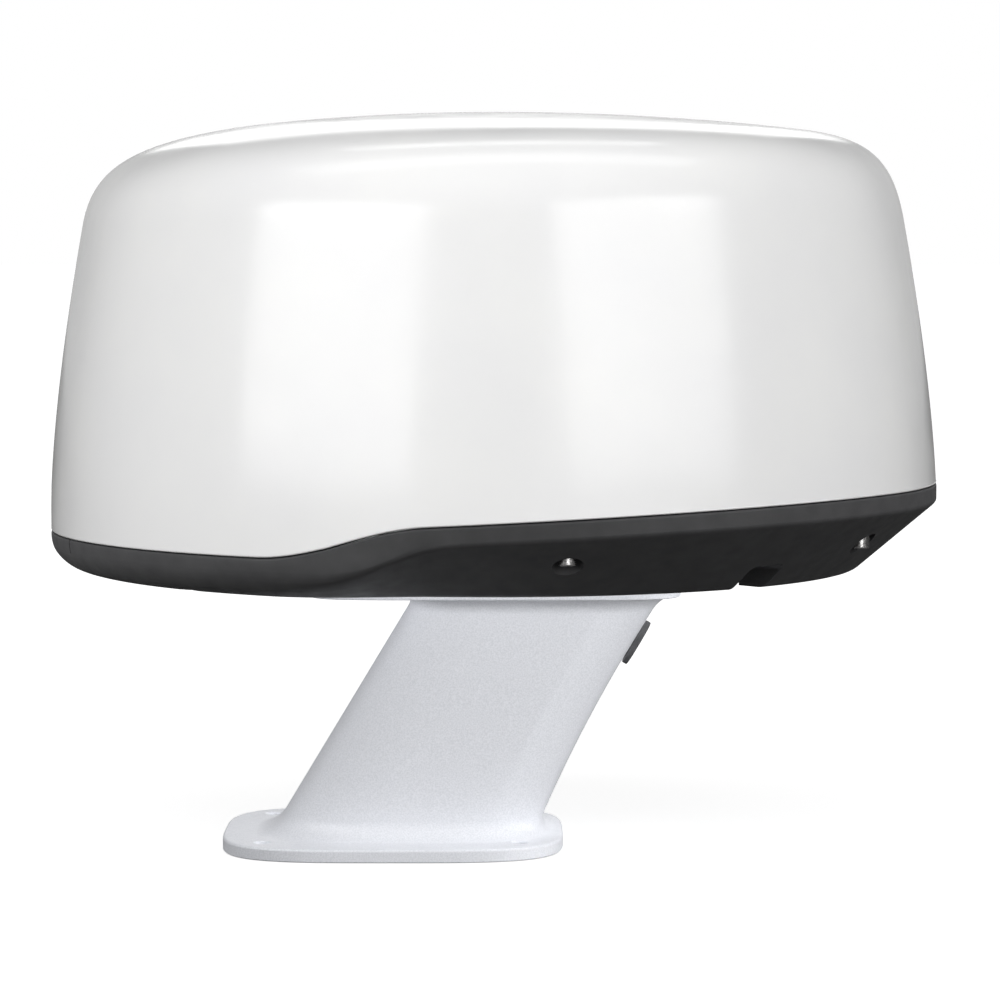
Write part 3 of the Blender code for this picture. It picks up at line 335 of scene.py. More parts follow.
def powder_coat():
    """Cool light grey powder coat with its grain."""
    s = Surface("powder_coat_finish", (0.71, 0.72, 0.76), 0.42)
    s.vary_colour(s.noise(0.9, 3, 0.7), (0.64, 0.655, 0.69), (0.77, 0.78, 0.82), 0.35, 0.65)
    s.vary_roughness(s.noise(5, 3), 0.36, 0.5)
    s.bump(s.noise(1.5, 3, 0.6), 0.08, 0.6)
    return s.material


def rubber():
    s = Surface("rubber_matt", (0.05, 0.05, 0.055), 0.7)
    s.vary_colour(s.noise(6, 4), (0.06, 0.061, 0.064), (0.084, 0.085, 0.09))
    s.vary_roughness(s.noise(4, 3), 0.6, 0.8)
    s.bump(s.noise(0.4, 3), 0.04, 0.6)
    return s.material


def stainless():
    """Bright turned steel with fine marks."""
    s = Surface("stainless_turned", (0.68, 0.67, 0.66), 0.22, 1.0)
    s.vary_colour(s.noise(3, 3), (0.60, 0.59, 0.58), (0.72, 0.71, 0.70))
    s.vary_roughness(s.noise(1.2, 4, 0.6, (1, 1, 8)), 0.15, 0.34)
    s.bump(s.noise(0.5, 3, 0.6, (1, 1, 6)), 0.01, 0.4)
    return s.material


def aluminium():
    """Bead-blasted plate with small handling marks."""
    s = Surface("aluminium_blasted", (0.70, 0.71, 0.73), 0.4, 1.0)
    s.vary_colour(s.noise(20, 4), (0.62, 0.63, 0.65), (0.74, 0.75, 0.77))
    s.vary_roughness(s.noise(8, 4), 0.34, 0.5)
    s.bump(s.noise(0.6, 4, 0.65), 0.03, 0.5)
    return s.material


def motor_black():
    """Painted motor body with the edges of its laminations."""
    s = Surface("motor_paint", (0.03, 0.03, 0.032), 0.38, 0.2)
    s.vary_colour(s.noise(8, 4), (0.022, 0.022, 0.024), (0.042, 0.042, 0.045))
    s.vary_roughness(s.noise(5, 3), 0.3, 0.5)
    s.bump(s.noise(0.5, 2, 0.5, (0.02, 0.02, 1)), 0.06, 0.7)
    return s.material


def board_green():
    """Solder mask over a copper pattern."""
    s = Surface("board_mask", (0.02, 0.16, 0.07), 0.3, Coat_Weight=0.4, Coat_Roughness=0.15)
    s.vary_colour(s.cell_edges(5), (0.035, 0.24, 0.10), (0.015, 0.13, 0.055), 0.05, 0.12)
    s.vary_roughness(s.noise(6, 3), 0.25, 0.4)
    s.bump(s.cell_edges(5), 0.05, 0.4)
    return s.material


def plastic_black():
    s = Surface("plastic_moulded", (0.02, 0.02, 0.02), 0.42)
    s.vary_colour(s.noise(10, 4), (0.016, 0.016, 0.017), (0.03, 0.03, 0.031))
    s.vary_roughness(s.noise(4, 3), 0.36, 0.5)
    s.bump(s.noise(0.5, 3), 0.03, 0.5)
    return s.material


def copper():
    s = Surface("brass_plated", (0.80, 0.52, 0.28), 0.3, 1.0)
    s.vary_colour(s.noise(5, 4), (0.70, 0.44, 0.22), (0.85, 0.58, 0.33))
    s.vary_roughness(s.noise(2, 3, 0.5, (1, 1, 6)), 0.2, 0.4)
    s.bump(s.noise(0.5, 3, 0.6, (1, 1, 6)), 0.01, 0.4)
    return s.material


FINISHES = {
    "dome_white": dome_white(),
    "housing_grey": housing_grey(),
    "powder_coat": powder_coat(),
    "rubber_black": rubber(),
    "stainless": stainless(),
    "aluminium": aluminium(),
    "motor_black": motor_black(),
    "board_green": board_green(),
    "plastic_black": plastic_black(),
    "copper_alloy": copper(),
}


# ---------------------------------------------------------------- mesh helpers


def ease(t):
    t = min(max(t, 0.0), 1.0)
    return t * t * (3 - 2 * t)


def blend(start, end, t):
    return start + (end - start) * t


def polar(radius, azimuth, z):
    angle = math.radians(azimuth)
    return (radius * math.cos(angle), radius * math.sin(angle), z)


def loft(rings, closed=False):
    """Skins rings of equally many points. An open loft is capped, a closed one joins its ends."""
    bm = bmesh.new()
    loops = [[bm.verts.new(point) for point in ring] for ring in rings]
    if not closed:
        bm.faces.new(loops[0])
        bm.faces.new(loops[-1])
    following = loops[1:] + loops[:1] if closed else loops[1:]
    for lower, upper in zip(loops, following):
        for i in range(len(lower)):
            j = (i + 1) % len(lower)
            bm.faces.new((lower[i], lower[j], upper[j], upper[i]))
    bmesh.ops.recalc_face_normals(bm, faces=bm.faces)
    return bm


def rounded(points, reaches, steps=4):
    """The profile with each inner corner rounded, starting at most this far from it."""
    points = [Vector(point) for point in points]
    result = [points[0]]
    for before, corner, after, reach in zip(points, points[1:], points[2:], reaches):
        back, ahead = before - corner, after - corner
        start = corner + back * min(reach / max(back.length, 1e-6), 0.48)
        end = corner + ahead * min(reach / max(ahead.length, 1e-6), 0.48)
        for step in range(steps + 1):
            t = step / steps
            result.append(start.lerp(corner, t).lerp(corner.lerp(end, t), t))
    return result + [points[-1]]


def cylinder(radius, z0, z1, x=0.0, y=0.0, segments=48, top_radius=None):
    bm = bmesh.new()
    place = Matrix.Translation((x, y, (z0 + z1) / 2))
    bmesh.ops.create_cone(
        bm,
        cap_ends=True,
        segments=segments,
        radius1=radius,
        radius2=radius if top_radius is None else top_radius,
        depth=z1 - z0,
        matrix=place,
    )
    return bm


def box(low, high, turn=0.0):
    bm = bmesh.new()
    low, high = Vector(low), Vector(high)
    place = Matrix.Translation((low + high) / 2) @ Matrix.Diagonal((*(high - low), 1))
    bmesh.ops.create_cube(bm, size=1.0, matrix=place)
    bmesh.ops.rotate(bm, verts=bm.verts, cent=(0, 0, 0), matrix=Matrix.Rotation(turn, 3, "Z"))
    return bm


def radial_box(azimuth, inner, outer, half_width, z0, z1):
    return box((inner, -half_width, z0), (outer, half_width, z1), math.radians(azimuth))


def bevel_edges(bm, chosen, offset, segments=5):
    edges = [edge for edge in bm.edges if chosen(edge)]
    bmesh.ops.bevel(bm, geom=edges, offset=offset, segments=segments, affect="EDGES", profile=0.5)
    return bm


def merged(*shapes):
    whole = bmesh.new()
    for shape in shapes:
        mesh = bpy.data.meshes.new("merged")
        shape.to_mesh(mesh)
        shape.free()
        whole.from_mesh(mesh)
        bpy.data.meshes.remove(mesh)
    return whole


def mesh_object(name, bm):
    bmesh.ops.scale(bm, verts=bm.verts, vec=(MM, MM, MM))
    mesh = bpy.data.meshes.new(name)
    bm.to_mesh(mesh)
    bm.free()
    obj = bpy.data.objects.new(name, mesh)
    bpy.context.scene.collection.objects.link(obj)
    return obj


def combine(obj, bm, operation="DIFFERENCE"):
    """Cuts or joins another shape at once, and leaves nothing behind."""
    other = mesh_object("operand", bm) if isinstance(bm, bmesh.types.BMesh) else bm
    modifier = obj.modifiers.new("combine", "BOOLEAN")
    modifier.operation = operation
    modifier.solver = "EXACT"
    modifier.object = other
    bake_modifiers(obj)
    bpy.data.objects.remove(other)


def bake_modifiers(obj):
    graph = bpy.context.evaluated_depsgraph_get()
    obj.data = bpy.data.meshes.new_from_object(obj.evaluated_get(graph))
    obj.modifiers.clear()


def add_piece(obj, node, slot, sharp=32.0):
    """Shades the piece, gives it its finish and puts it in place of its CAD node on the still body."""
    obj.data.materials.clear()
    obj.data.materials.append(FINISHES[slot])
    obj.data.shade_smooth()
    obj.data.set_sharp_from_angle(angle=math.radians(sharp))
    obj.modifiers.new("flat_faces", "WEIGHTED_NORMAL").keep_sharp = True
    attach(obj, "root")
    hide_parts(node)


# ---------------------------------------------------------------- radome


def azimuths():
    """Azimuths from aft in degrees, from 0 round to 360, the second half as negative values."""
    turns = [360 * step / AZIMUTH_STEPS for step in range(AZIMUTH_STEPS)]
    return [turn if turn <= 180 else turn - 360 for turn in turns]


def parting_z(azimuth):
    from_bow = 180 - abs(azimuth)
    sweep = ease((from_bow - SWEEP_START) / SWEEP_RUN)
    tail = math.sin(math.pi / 2 * min(max((from_bow - TAIL_START) / TAIL_RUN, 0.0), 1.0))
    return PARTING_BOW_Z + PARTING_RISE * (SWEEP_SHARE * sweep + (1 - SWEEP_SHARE) * tail)


def undercut(azimuth):
    """0 where the housing is a bowl, and 1 where it is a band over an undercut."""
    return ease((180 - abs(azimuth) - UNDERCUT_START) / UNDERCUT_RUN)


def wall_radius(z, inset):
    return RIM_RADIUS - inset - WALL_TAPER * max(z - WALL_FOOT_Z, 0.0) ** 1.5


def bezier(points, t):
    while len(points) > 1:
        points = [start.lerp(end, t) for start, end in zip(points, points[1:])]
    return points[0]


def dome_profile(azimuth, inset, steps):
    """(radius, z) from the rim over the shoulder to the crown."""
    wall_steps, shoulder_steps, crown_steps = steps
    aft = (1 + math.cos(math.radians(azimuth))) / 2
    corner_z = blend(CORNER_BOW_Z, CORNER_AFT_Z, aft) - inset
    corner_radius = wall_radius(corner_z + inset, inset)
    crown_z = CROWN_Z - inset

    def crown(radius):
        return crown_z - (crown_z - corner_z) * (radius / corner_radius) ** 2

    shoulder_z = corner_z - SHOULDER_DROP
    foot_z = parting_z(azimuth) + GAP
    corner = Vector((corner_radius, corner_z))
    start = Vector((wall_radius(shoulder_z + inset, inset), shoulder_z))
    end_radius = corner_radius - blend(SHOULDER_BOW_RUN, SHOULDER_AFT_RUN, aft)
    end = Vector((end_radius, crown(end_radius)))
    handles = [start, start.lerp(corner, SHOULDER_PULL), end.lerp(corner, SHOULDER_PULL), end]
    edge = FOOT_EDGE if inset == 0 else INNER_FOOT_EDGE
    profile = []
    for step in range(6):
        angle = math.radians(15 * step)
        radius = RIM_RADIUS - inset - edge * (1 - math.sin(angle))
        profile.append((radius, foot_z + edge * (1 - math.cos(angle))))
    foot_z += edge
    for step in range(wall_steps):
        z = blend(foot_z, shoulder_z, step / wall_steps)
        profile.append((wall_radius(z + inset, inset), z))
    for step in range(shoulder_steps):
        profile.append(tuple(bezier(handles, step / shoulder_steps)))
    for step in range(crown_steps):
        radius = blend(end_radius, CROWN_END_RADIUS, step / (crown_steps - 1))
        profile.append((radius, crown(radius)))
    return profile


def rings_of(profile_at):
    """Rings round the axis from a function that gives the profile at an azimuth."""
    profiles = [profile_at(azimuth) for azimuth in azimuths()]
    return [
        [polar(radius, azimuth, z) for azimuth, (radius, z) in zip(azimuths(), ring)]
        for ring in zip(*profiles)
    ]


def make_dome():
    outer = rings_of(lambda azimuth: dome_profile(azimuth, 0.0, (14, 18, 12)))
    inner = rings_of(lambda azimuth: dome_profile(azimuth, DOME_WALL, (5, 8, 6)))
    dome = mesh_object("dome_shell", loft(inner[::-1] + outer))
    bosses = []
    holes = []
    for azimuth in SCREW_AZIMUTHS:
        foot = parting_z(azimuth) + SEAL_HEIGHT + 1.0
        top = foot + DOME_BOSS_HEIGHT
        bosses.append(radial_box(azimuth, *DOME_BOSS_RADII, DOME_BOSS_HALF_WIDTH, foot, top))
        x, y, _ = polar(SCREW_CIRCLE, azimuth, 0)
        holes.append(cylinder(DOME_SCREW_HOLE, foot - 1, foot + DOME_HOLE_DEPTH, x, y, 24))
    combine(dome, merged(*bosses), "UNION")
    combine(dome, merged(*holes))
    add_piece(dome, "dome", "dome_white")


def housing_corners(azimuth):
    """The undercut's share, the top of the lip, and the (radius, z) of the lower edge and the floor."""
    cut = undercut(azimuth)
    edge_z = blend(BOWL_EDGE_Z, parting_z(azimuth) - BAND_HEIGHT, cut)
    edge_radius = blend(BOWL_EDGE_RADIUS, RIM_RADIUS, cut)
    shift = ease((180 - abs(azimuth) - FLOOR_SHIFT_START) / UNDERCUT_RUN)
    floor_radius = blend(BOWL_FLOOR_RADIUS, AFT_FLOOR_RADIUS, shift)
    return cut, parting_z(azimuth) - GAP, (edge_radius, edge_z), (floor_radius, FLOOR_Z)


def housing_outer(azimuth):
    """The outer profile from the lip under the dome down to the flat floor, with its corners rounded."""
    cut, top, (edge_radius, edge_z), (floor_radius, floor_z) = housing_corners(azimuth)
    side_z = blend(BOWL_SIDE_Z, edge_z + 6.0, cut)
    bulge = 1 - cut
    middle = ((edge_radius + floor_radius) / 2 + 1.2 * bulge, (edge_z + floor_z) / 2 - 0.9 * bulge)
    points = [
        (RIM_RADIUS - 9.0, top),
        (RIM_RADIUS, top),
        (RIM_RADIUS, side_z),
        (blend(BOWL_SIDE_RADIUS, RIM_RADIUS, cut), (side_z + edge_z) / 2),
        (edge_radius, edge_z),
        middle,
        (floor_radius, floor_z),
        (floor_radius - 12.0, floor_z),
    ]
    return rounded(points, (1.1, 6.0, 6.0, blend(BOWL_EDGE_ROUND, BAND_EDGE_ROUND, cut), 6.0, 3.5))


def housing_inner(azimuth):
    cut, top, (edge_radius, edge_z), (floor_radius, floor_z) = housing_corners(azimuth)
    side_z = blend(BOWL_INNER_SIDE_Z, edge_z + 1.0, cut)
    inset = HOUSING_WALL
    return [
        (RIM_RADIUS - LIP_WIDTH, top),
        (RIM_RADIUS - LIP_WIDTH, side_z + inset),
        (edge_radius - inset * 1.1, edge_z + inset),
        (floor_radius - inset * 1.1, floor_z + inset),
        (floor_radius - inset * 1.1 - 8.0, floor_z + inset),
    ]


def screw_seat(azimuth):
    return SCREW_SEAT_BOW if abs(azimuth) > 120 else SCREW_SEAT_AFT


def corners(x, y, centre_x=0.0):
    return [(centre_x + side_x * x, side_y * y) for side_x in (-1, 1) for side_y in (-1, 1)]


def socket_place(side):
    along = Vector(polar(WELL_RADIUS - 6, WELL_AZIMUTH, 0))
    across = Vector(polar(SOCKET_SPACING * side, WELL_AZIMUTH + 90, 0))
    return tuple((along + across).xy)


def housing_bosses(outer):
    """The bosses and the well's block, kept a skin's width inside the outer face."""
    block_top = WELL_CEILING + 3
    solids = [radial_box(WELL_AZIMUTH, *WELL_BLOCK_RADII, WELL_BLOCK_HALF_WIDTH, FLOOR_Z + 1, block_top)]
    for x, y in corners(RADOME_BOLT_X, RADOME_BOLT_Y):
        solids.append(cylinder(RADOME_BOSS_RADIUS, FLOOR_Z + 3, RADOME_BOSS_TOP, x, y))
    for x, y in corners(CHASSIS_POST_X, CHASSIS_POST_Y):
        solids.append(cylinder(CHASSIS_POST_RADIUS, FLOOR_Z + 3, CHASSIS_POST_TOP, x, y))
    for azimuth in SCREW_AZIMUTHS:
        x, y, _ = polar(SCREW_CIRCLE, azimuth, 0)
        solids.append(cylinder(HOUSING_BOSS_RADIUS, FLOOR_Z, parting_z(azimuth) + SEAL_HEIGHT, x, y))
    bosses = mesh_object("bosses", merged(*solids))
    limit = []
    for ring in outer[4:]:
        inward = [Vector((x, y, 0)).normalized() * BOSS_SKIN for x, y, _ in ring]
        limit.append([(x - off.x, y - off.y, z + BOSS_SKIN) for (x, y, z), off in zip(ring, inward)])
    top = [(x, y, 230.0) for x, y, _ in limit[0]]
    combine(bosses, loft([top] + limit), "INTERSECT")
    return bosses


def screw_pocket(azimuth):
    """An oval pocket whose longer side runs round the housing."""
    pocket = cylinder(POCKET_RADIUS, FLOOR_Z - 6, screw_seat(azimuth), segments=64)
    bmesh.ops.scale(pocket, verts=pocket.verts, vec=(POCKET_SQUEEZE, 1, 1))
    bmesh.ops.translate(pocket, verts=pocket.verts, vec=(POCKET_CIRCLE, 0, 0))
    turn = Matrix.Rotation(math.radians(azimuth), 3, "Z")
    bmesh.ops.rotate(pocket, verts=pocket.verts, cent=(0, 0, 0), matrix=turn)
    return pocket


def make_lower_housing():
    outer = rings_of(housing_outer)
    inner = rings_of(housing_inner)
    housing = mesh_object("lower_housing_shell", loft(inner[::-1] + outer))
    combine(housing, housing_bosses(outer), "UNION")
    holes = []
    for x, y in corners(RADOME_BOLT_X, RADOME_BOLT_Y):
        holes.append(cylinder(RADOME_INSERT_HOLE, FLOOR_Z - 2, 177, x, y))
    for x, y in corners(CHASSIS_POST_X, CHASSIS_POST_Y):
        holes.append(cylinder(CHASSIS_SCREW_HOLE, 172, 186, x, y, 24))
    for azimuth in SCREW_AZIMUTHS:
        x, y, _ = polar(SCREW_CIRCLE, azimuth, 0)
        top = parting_z(azimuth) + 6
        holes.append(cylinder(HOUSING_SCREW_HOLE, screw_seat(azimuth) - 2, top, x, y, 24))
    combine(housing, merged(*holes))
    vent_hole = cylinder(VENT_HOLE, FLOOR_Z - 2, FLOOR_Z + 8, VENT_X, VENT_Y)
    combine(housing, merged(vent_hole, *(screw_pocket(azimuth) for azimuth in SCREW_AZIMUTHS)))
    well_inner = WELL_RADIUS - WELL_LENGTH / 2
    well_outer = WELL_RADIUS + WELL_LENGTH / 2
    well = radial_box(WELL_AZIMUTH, well_inner, well_outer, WELL_WIDTH / 2, FLOOR_Z - 3, WELL_CEILING)
    bevel_edges(well, lambda edge: abs(edge.verts[0].co.z - edge.verts[1].co.z) > 1, WELL_CORNER)
    combine(housing, well)
    notch_span = (well_outer - 2, NOTCH_OUTER_RADIUS, NOTCH_WIDTH / 2)
    notch = radial_box(WELL_AZIMUTH, *notch_span, FLOOR_Z - 4, WELL_CEILING)
    bevel_edges(notch, lambda edge: all(v.co.z > WELL_CEILING - 1 for v in edge.verts), NOTCH_BEVEL)
    combine(housing, notch)
    sockets = []
    for side in (-1, 1):
        sockets.append(cylinder(SOCKET_HOLE, WELL_CEILING - 2, WELL_CEILING + 6, *socket_place(side)))
    combine(housing, merged(*sockets))
    marks = [radial_box(azimuth, 252.9, 256, MARK_HALF_WIDTH, 174, 190) for azimuth in MARK_AZIMUTHS]
    combine(housing, merged(*marks))
    add_piece(housing, "lower_housing", "housing_grey")


def make_seal():
    inner, outer, top = SEAL_INNER_RADIUS, SEAL_OUTER_RADIUS, SEAL_HEIGHT
    outline = [(inner, 1.0), (inner, 0), (outer, 0), (outer, top), (inner, top), (inner, 1.0)]
    section = rounded(outline, [SEAL_EDGE] * 4, 3)[:-1]
    rings = [
        [polar(radius, azimuth, parting_z(azimuth) + height) for azimuth in azimuths()]
        for radius, height in section
    ]
    seal = mesh_object("dome_seal_ring", loft(rings, closed=True))
    add_piece(seal, "dome_seal", "rubber_black", sharp=60)


# ---------------------------------------------------------------- fasteners


def hexagon(radius, z, count, flats):
    """A ring on a hexagon with this width across flats."""
    ring = []
    for step in range(count):
        angle = 2 * math.pi * step / count
        within = (angle + math.pi / 6) % (math.pi / 3) - math.pi / 6
        reach = min(flats / 2 / math.cos(within), radius)
        ring.append((reach * math.cos(angle), reach * math.sin(angle), z))
    return ring


def circle(radius, z, count):
    return [
        (radius * math.cos(2 * math.pi * k / count), radius * math.sin(2 * math.pi * k / count), z)
        for k in range(count)
    ]


def make_screw(name, node, x, y, seat, head, shank, tip, turn):
    """A socket-head screw that points up, with a hexagon socket in its rounded head."""
    count = 72
    radius, height = head
    bottom = seat - height
    flats = radius * 0.98
    depth = height * 0.55
    rings = [circle(r, z, count) for r, z in ((shank - 0.5, tip), (shank, tip - 0.5), (shank, seat))]
    side = [(shank, seat), (radius, seat), (radius, bottom), (radius * 0.62, bottom)]
    profile = rounded(side, (0.25, 0.9), 5)
    rings += [circle(r, z, count) for r, z in profile[1:]]
    rings += [
        circle(radius * 0.60, bottom + 0.25, count),
        hexagon(radius, bottom + 0.3, count, flats),
        hexagon(radius, bottom + depth, count, flats),
        hexagon(radius, bottom + depth + 0.6, count, flats * 0.35),
    ]
    bm = loft(rings)
    place = Matrix.Translation((x, y, 0)) @ Matrix.Rotation(math.radians(turn), 4, "Z")
    bmesh.ops.transform(bm, verts=bm.verts, matrix=place)
    add_piece(mesh_object(name, bm), node, "stainless", sharp=28)


def make_fasteners():
    for number, azimuth in enumerate(SCREW_AZIMUTHS, 1):
        x, y, _ = polar(SCREW_CIRCLE, azimuth, 0)
        tip = parting_z(azimuth) + SEAL_HEIGHT + SCREW_REACH
        seat = screw_seat(azimuth) - GAP
        node = f"dome_screw_{number}"
        make_screw(f"{node}_socket_head", node, x, y, seat, SCREW_HEAD, SCREW_SHANK, tip, 17.0 * number)
    for number, (x, y) in enumerate(corners(RADOME_BOLT_X, RADOME_BOLT_Y), 1):
        seat = FLOOR_Z - GAP - FLANGE_THICKNESS - GAP
        node = f"radome_bolt_{number}"
        shape = (RADOME_BOLT_HEAD, RADOME_BOLT_SHANK, RADOME_BOLT_TIP)
        make_screw(f"{node}_button_head", node, x, y, seat, *shape, 23.0 * number)


# ---------------------------------------------------------------- mast mount


def squircle(centre_x, half_length, half_width, z, power=3.7, count=RING_COUNT):
    """A ring between an ellipse and a rectangle."""
    ring = []
    for step in range(count):
        angle = 2 * math.pi * step / count
        c, s = math.cos(angle), math.sin(angle)
        scale = (abs(c) ** power + abs(s) ** power) ** (-1 / power)
        ring.append((centre_x + half_length * scale * c, half_width * scale * s, z))
    return ring


def mast_back(z):
    """How far aft the mast's rear face is at this height."""
    return MAST_BACK_X + MAST_BACK_LEAN * z + MAST_BACK_CURVE * z * z


def mast_section(z, grow=0.0):
    front = MAST_FRONT_X + MAST_FRONT_LEAN * z - grow
    back = mast_back(z) + grow
    half_width = blend(MAST_FOOT_HALF_WIDTH, MAST_HEAD_HALF_WIDTH, z / FLOOR_Z) + grow
    return squircle((front + back) / 2, (back - front) / 2, half_width, z, 3.2)


def shell_rings():
    """Rings of the outer skin of the mount from under the plate to the top of the flange."""
    rings = []
    plate = (PLATE_CENTRE_X, PLATE_HALF_LENGTH, PLATE_HALF_WIDTH)
    rings.append(squircle(plate[0], plate[1] - 0.5, plate[2] - 0.5, 0))
    rings.append(squircle(*plate, 0.5))
    for step in range(6):
        angle = math.pi / 2 * step / 5
        inset = PLATE_EDGE * (1 - math.cos(angle))
        z = PLATE_THICKNESS - PLATE_EDGE + PLATE_EDGE * math.sin(angle)
        rings.append(squircle(plate[0], plate[1] - inset, plate[2] - inset, z))
    for step in range(9):
        angle = math.pi / 2 * (1 - step / 8)
        z = PLATE_THICKNESS + MAST_FILLET * (1 - math.sin(angle))
        rings.append(mast_section(z, MAST_FILLET * (1 - math.cos(angle))))
    foot_top = PLATE_THICKNESS + MAST_FILLET
    flange_top = FLOOR_Z - GAP
    flange_bottom = flange_top - FLANGE_THICKNESS
    pad_bottom = flange_bottom - PAD_THICKNESS
    head_start = pad_bottom - HEAD_FILLET
    rings += [mast_section(blend(foot_top, head_start, step / 16)) for step in range(1, 17)]
    for step in range(1, 8):
        angle = math.pi / 2 * step / 7
        z = head_start + HEAD_FILLET * math.sin(angle)
        rings.append(mast_section(z, HEAD_FILLET * (1 - math.cos(angle))))
    pad = (PAD_CENTRE_X, PAD_HALF_LENGTH, PAD_HALF_WIDTH)
    flange = (0, FLANGE_HALF_LENGTH, FLANGE_HALF_WIDTH)
    levels = [
        (pad, 0.8, pad_bottom),
        (pad, 0.23, pad_bottom + 0.23),
        (pad, 0, pad_bottom + 0.8),
        (pad, 0, flange_bottom),
        (flange, 0.8, flange_bottom),
        (flange, 0.23, flange_bottom + 0.23),
        (flange, 0, flange_bottom + 0.8),
        (flange, 0, flange_top - 0.8),
        (flange, 0.23, flange_top - 0.23),
        (flange, 0.8, flange_top),
    ]
    for (centre_x, half_length, half_width), inset, z in levels:
        rings.append(squircle(centre_x, half_length - inset, half_width - inset, z, 6))
    return rings


def make_tower():
    flange_top = FLOOR_Z - GAP
    flange_bottom = flange_top - FLANGE_THICKNESS
    hole = circle(FLANGE_HOLE_RADIUS, 0, RING_COUNT)
    hole_floor = flange_bottom - 4
    rings = shell_rings()
    for z in (flange_top, hole_floor):
        rings.append([(FLANGE_HOLE_X + x, y, z) for x, y, _ in hole])
    rings += [mast_section(blend(hole_floor, 0, step / 14), -MAST_WALL) for step in range(15)]
    tower = mesh_object("mast_mount", loft(rings, closed=True))
    plate_top = PLATE_THICKNESS
    for x, y in corners(DECK_BOLT_X, DECK_BOLT_Y, PLATE_CENTRE_X):
        combine(tower, cylinder(DECK_BOLT_RADIUS, -2, plate_top + 30, x, y))
        rim = cylinder(DECK_BOLT_RADIUS, plate_top - 0.7, plate_top + 0.9, x, y, 48, DECK_BOLT_RIM)
        combine(tower, rim)
    for x, y in corners(RADOME_BOLT_X, RADOME_BOLT_Y):
        combine(tower, cylinder(RADOME_BOLT_HOLE, flange_bottom - 3, flange_top + 3, x, y))
    combine(tower, grommet_shape([(*GROMMET_HOLE, -12), (*GROMMET_HOLE, 6)]))
    add_piece(tower, "tower", "powder_coat", sharp=38)


def grommet_shape(stations):
    """A rounded plug along the outward normal of the mast's aft face."""
    shape = loft([squircle(0, length, width, z, 2.6, 72) for length, width, z in stations])
    place = Matrix.Translation((mast_back(GROMMET_Z), 0, GROMMET_Z))
    turn = Matrix.Rotation(math.pi / 2 + GROMMET_LEAN, 4, "Y")
    bmesh.ops.transform(shape, verts=shape.verts, matrix=place @ turn)
    return shape


def make_grommet():
    plug = mesh_object("cable_grommet_plug", grommet_shape(GROMMET_STATIONS))
    add_piece(plug, "cable_grommet", "rubber_black", sharp=40)


# ---------------------------------------------------------------- CAD nodes that stay


def finish_nodes():
    """Gives each CAD node that is shown the finish of its slot, and a small round on its edges."""
    slots = {part["node"]: part["material_slot"] for part in frame["record"]["subparts"]}
    for name, obj in frame["nodes"].items():
        if obj.hide_render:
            continue
        obj.data.materials.clear()
        obj.data.materials.append(FINISHES[slots[name]])
        low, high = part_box(name)
        edge = obj.modifiers.new("edges", "BEVEL")
        edge.width = min(0.4 * MM, min(high - low) * 0.06)
        edge.segments = 2
        edge.limit_method = "ANGLE"
        edge.angle_limit = math.radians(40)


# ---------------------------------------------------------------- stage


def make_stage():
    """A pale floor. It lights the object less than it shows, as if it lay outside the lamps."""
    bm = bmesh.new()
    bmesh.ops.create_grid(bm, x_segments=1, y_segments=1, size=FLOOR_SIZE / MM)
    floor = mesh_object("floor", bm)
    pale = Surface("floor_pale", (0.6, 0.6, 0.6), 0.9)
    pale.vary_colour(pale.noise(900, 2), (0.59, 0.59, 0.59), (0.61, 0.61, 0.61))
    pale.set("Emission Color", (1, 1, 1, 1))
    away = pale.nodes.new("ShaderNodeVectorMath")
    away.operation = "LENGTH"
    pale.links.new(pale.place, away.inputs[0])
    glow = pale.remap(away.outputs["Value"], FLOOR_NEAR, FLOOR_FAR, FLOOR_GLOW, FLOOR_FAR_GLOW)
    pale.links.new(glow, pale.shader.inputs["Emission Strength"])
    pale.set("Specular IOR Level", 0.0)
    dim = pale.nodes.new("ShaderNodeBsdfDiffuse")
    dim.inputs["Color"].default_value = (FLOOR_BOUNCE, FLOOR_BOUNCE, FLOOR_BOUNCE, 1.0)
    choose = pale.nodes.new("ShaderNodeMixShader")
    seen = pale.nodes.new("ShaderNodeLightPath").outputs["Is Camera Ray"]
    pale.links.new(seen, choose.inputs["Fac"])
    pale.links.new(dim.outputs["BSDF"], choose.inputs[1])
    pale.links.new(pale.shader.outputs["BSDF"], choose.inputs[2])
    pale.links.new(choose.outputs["Shader"], pale.nodes["Material Output"].inputs["Surface"])
    floor.data.materials.append(pale.material)
    floor.location.z = -0.0004


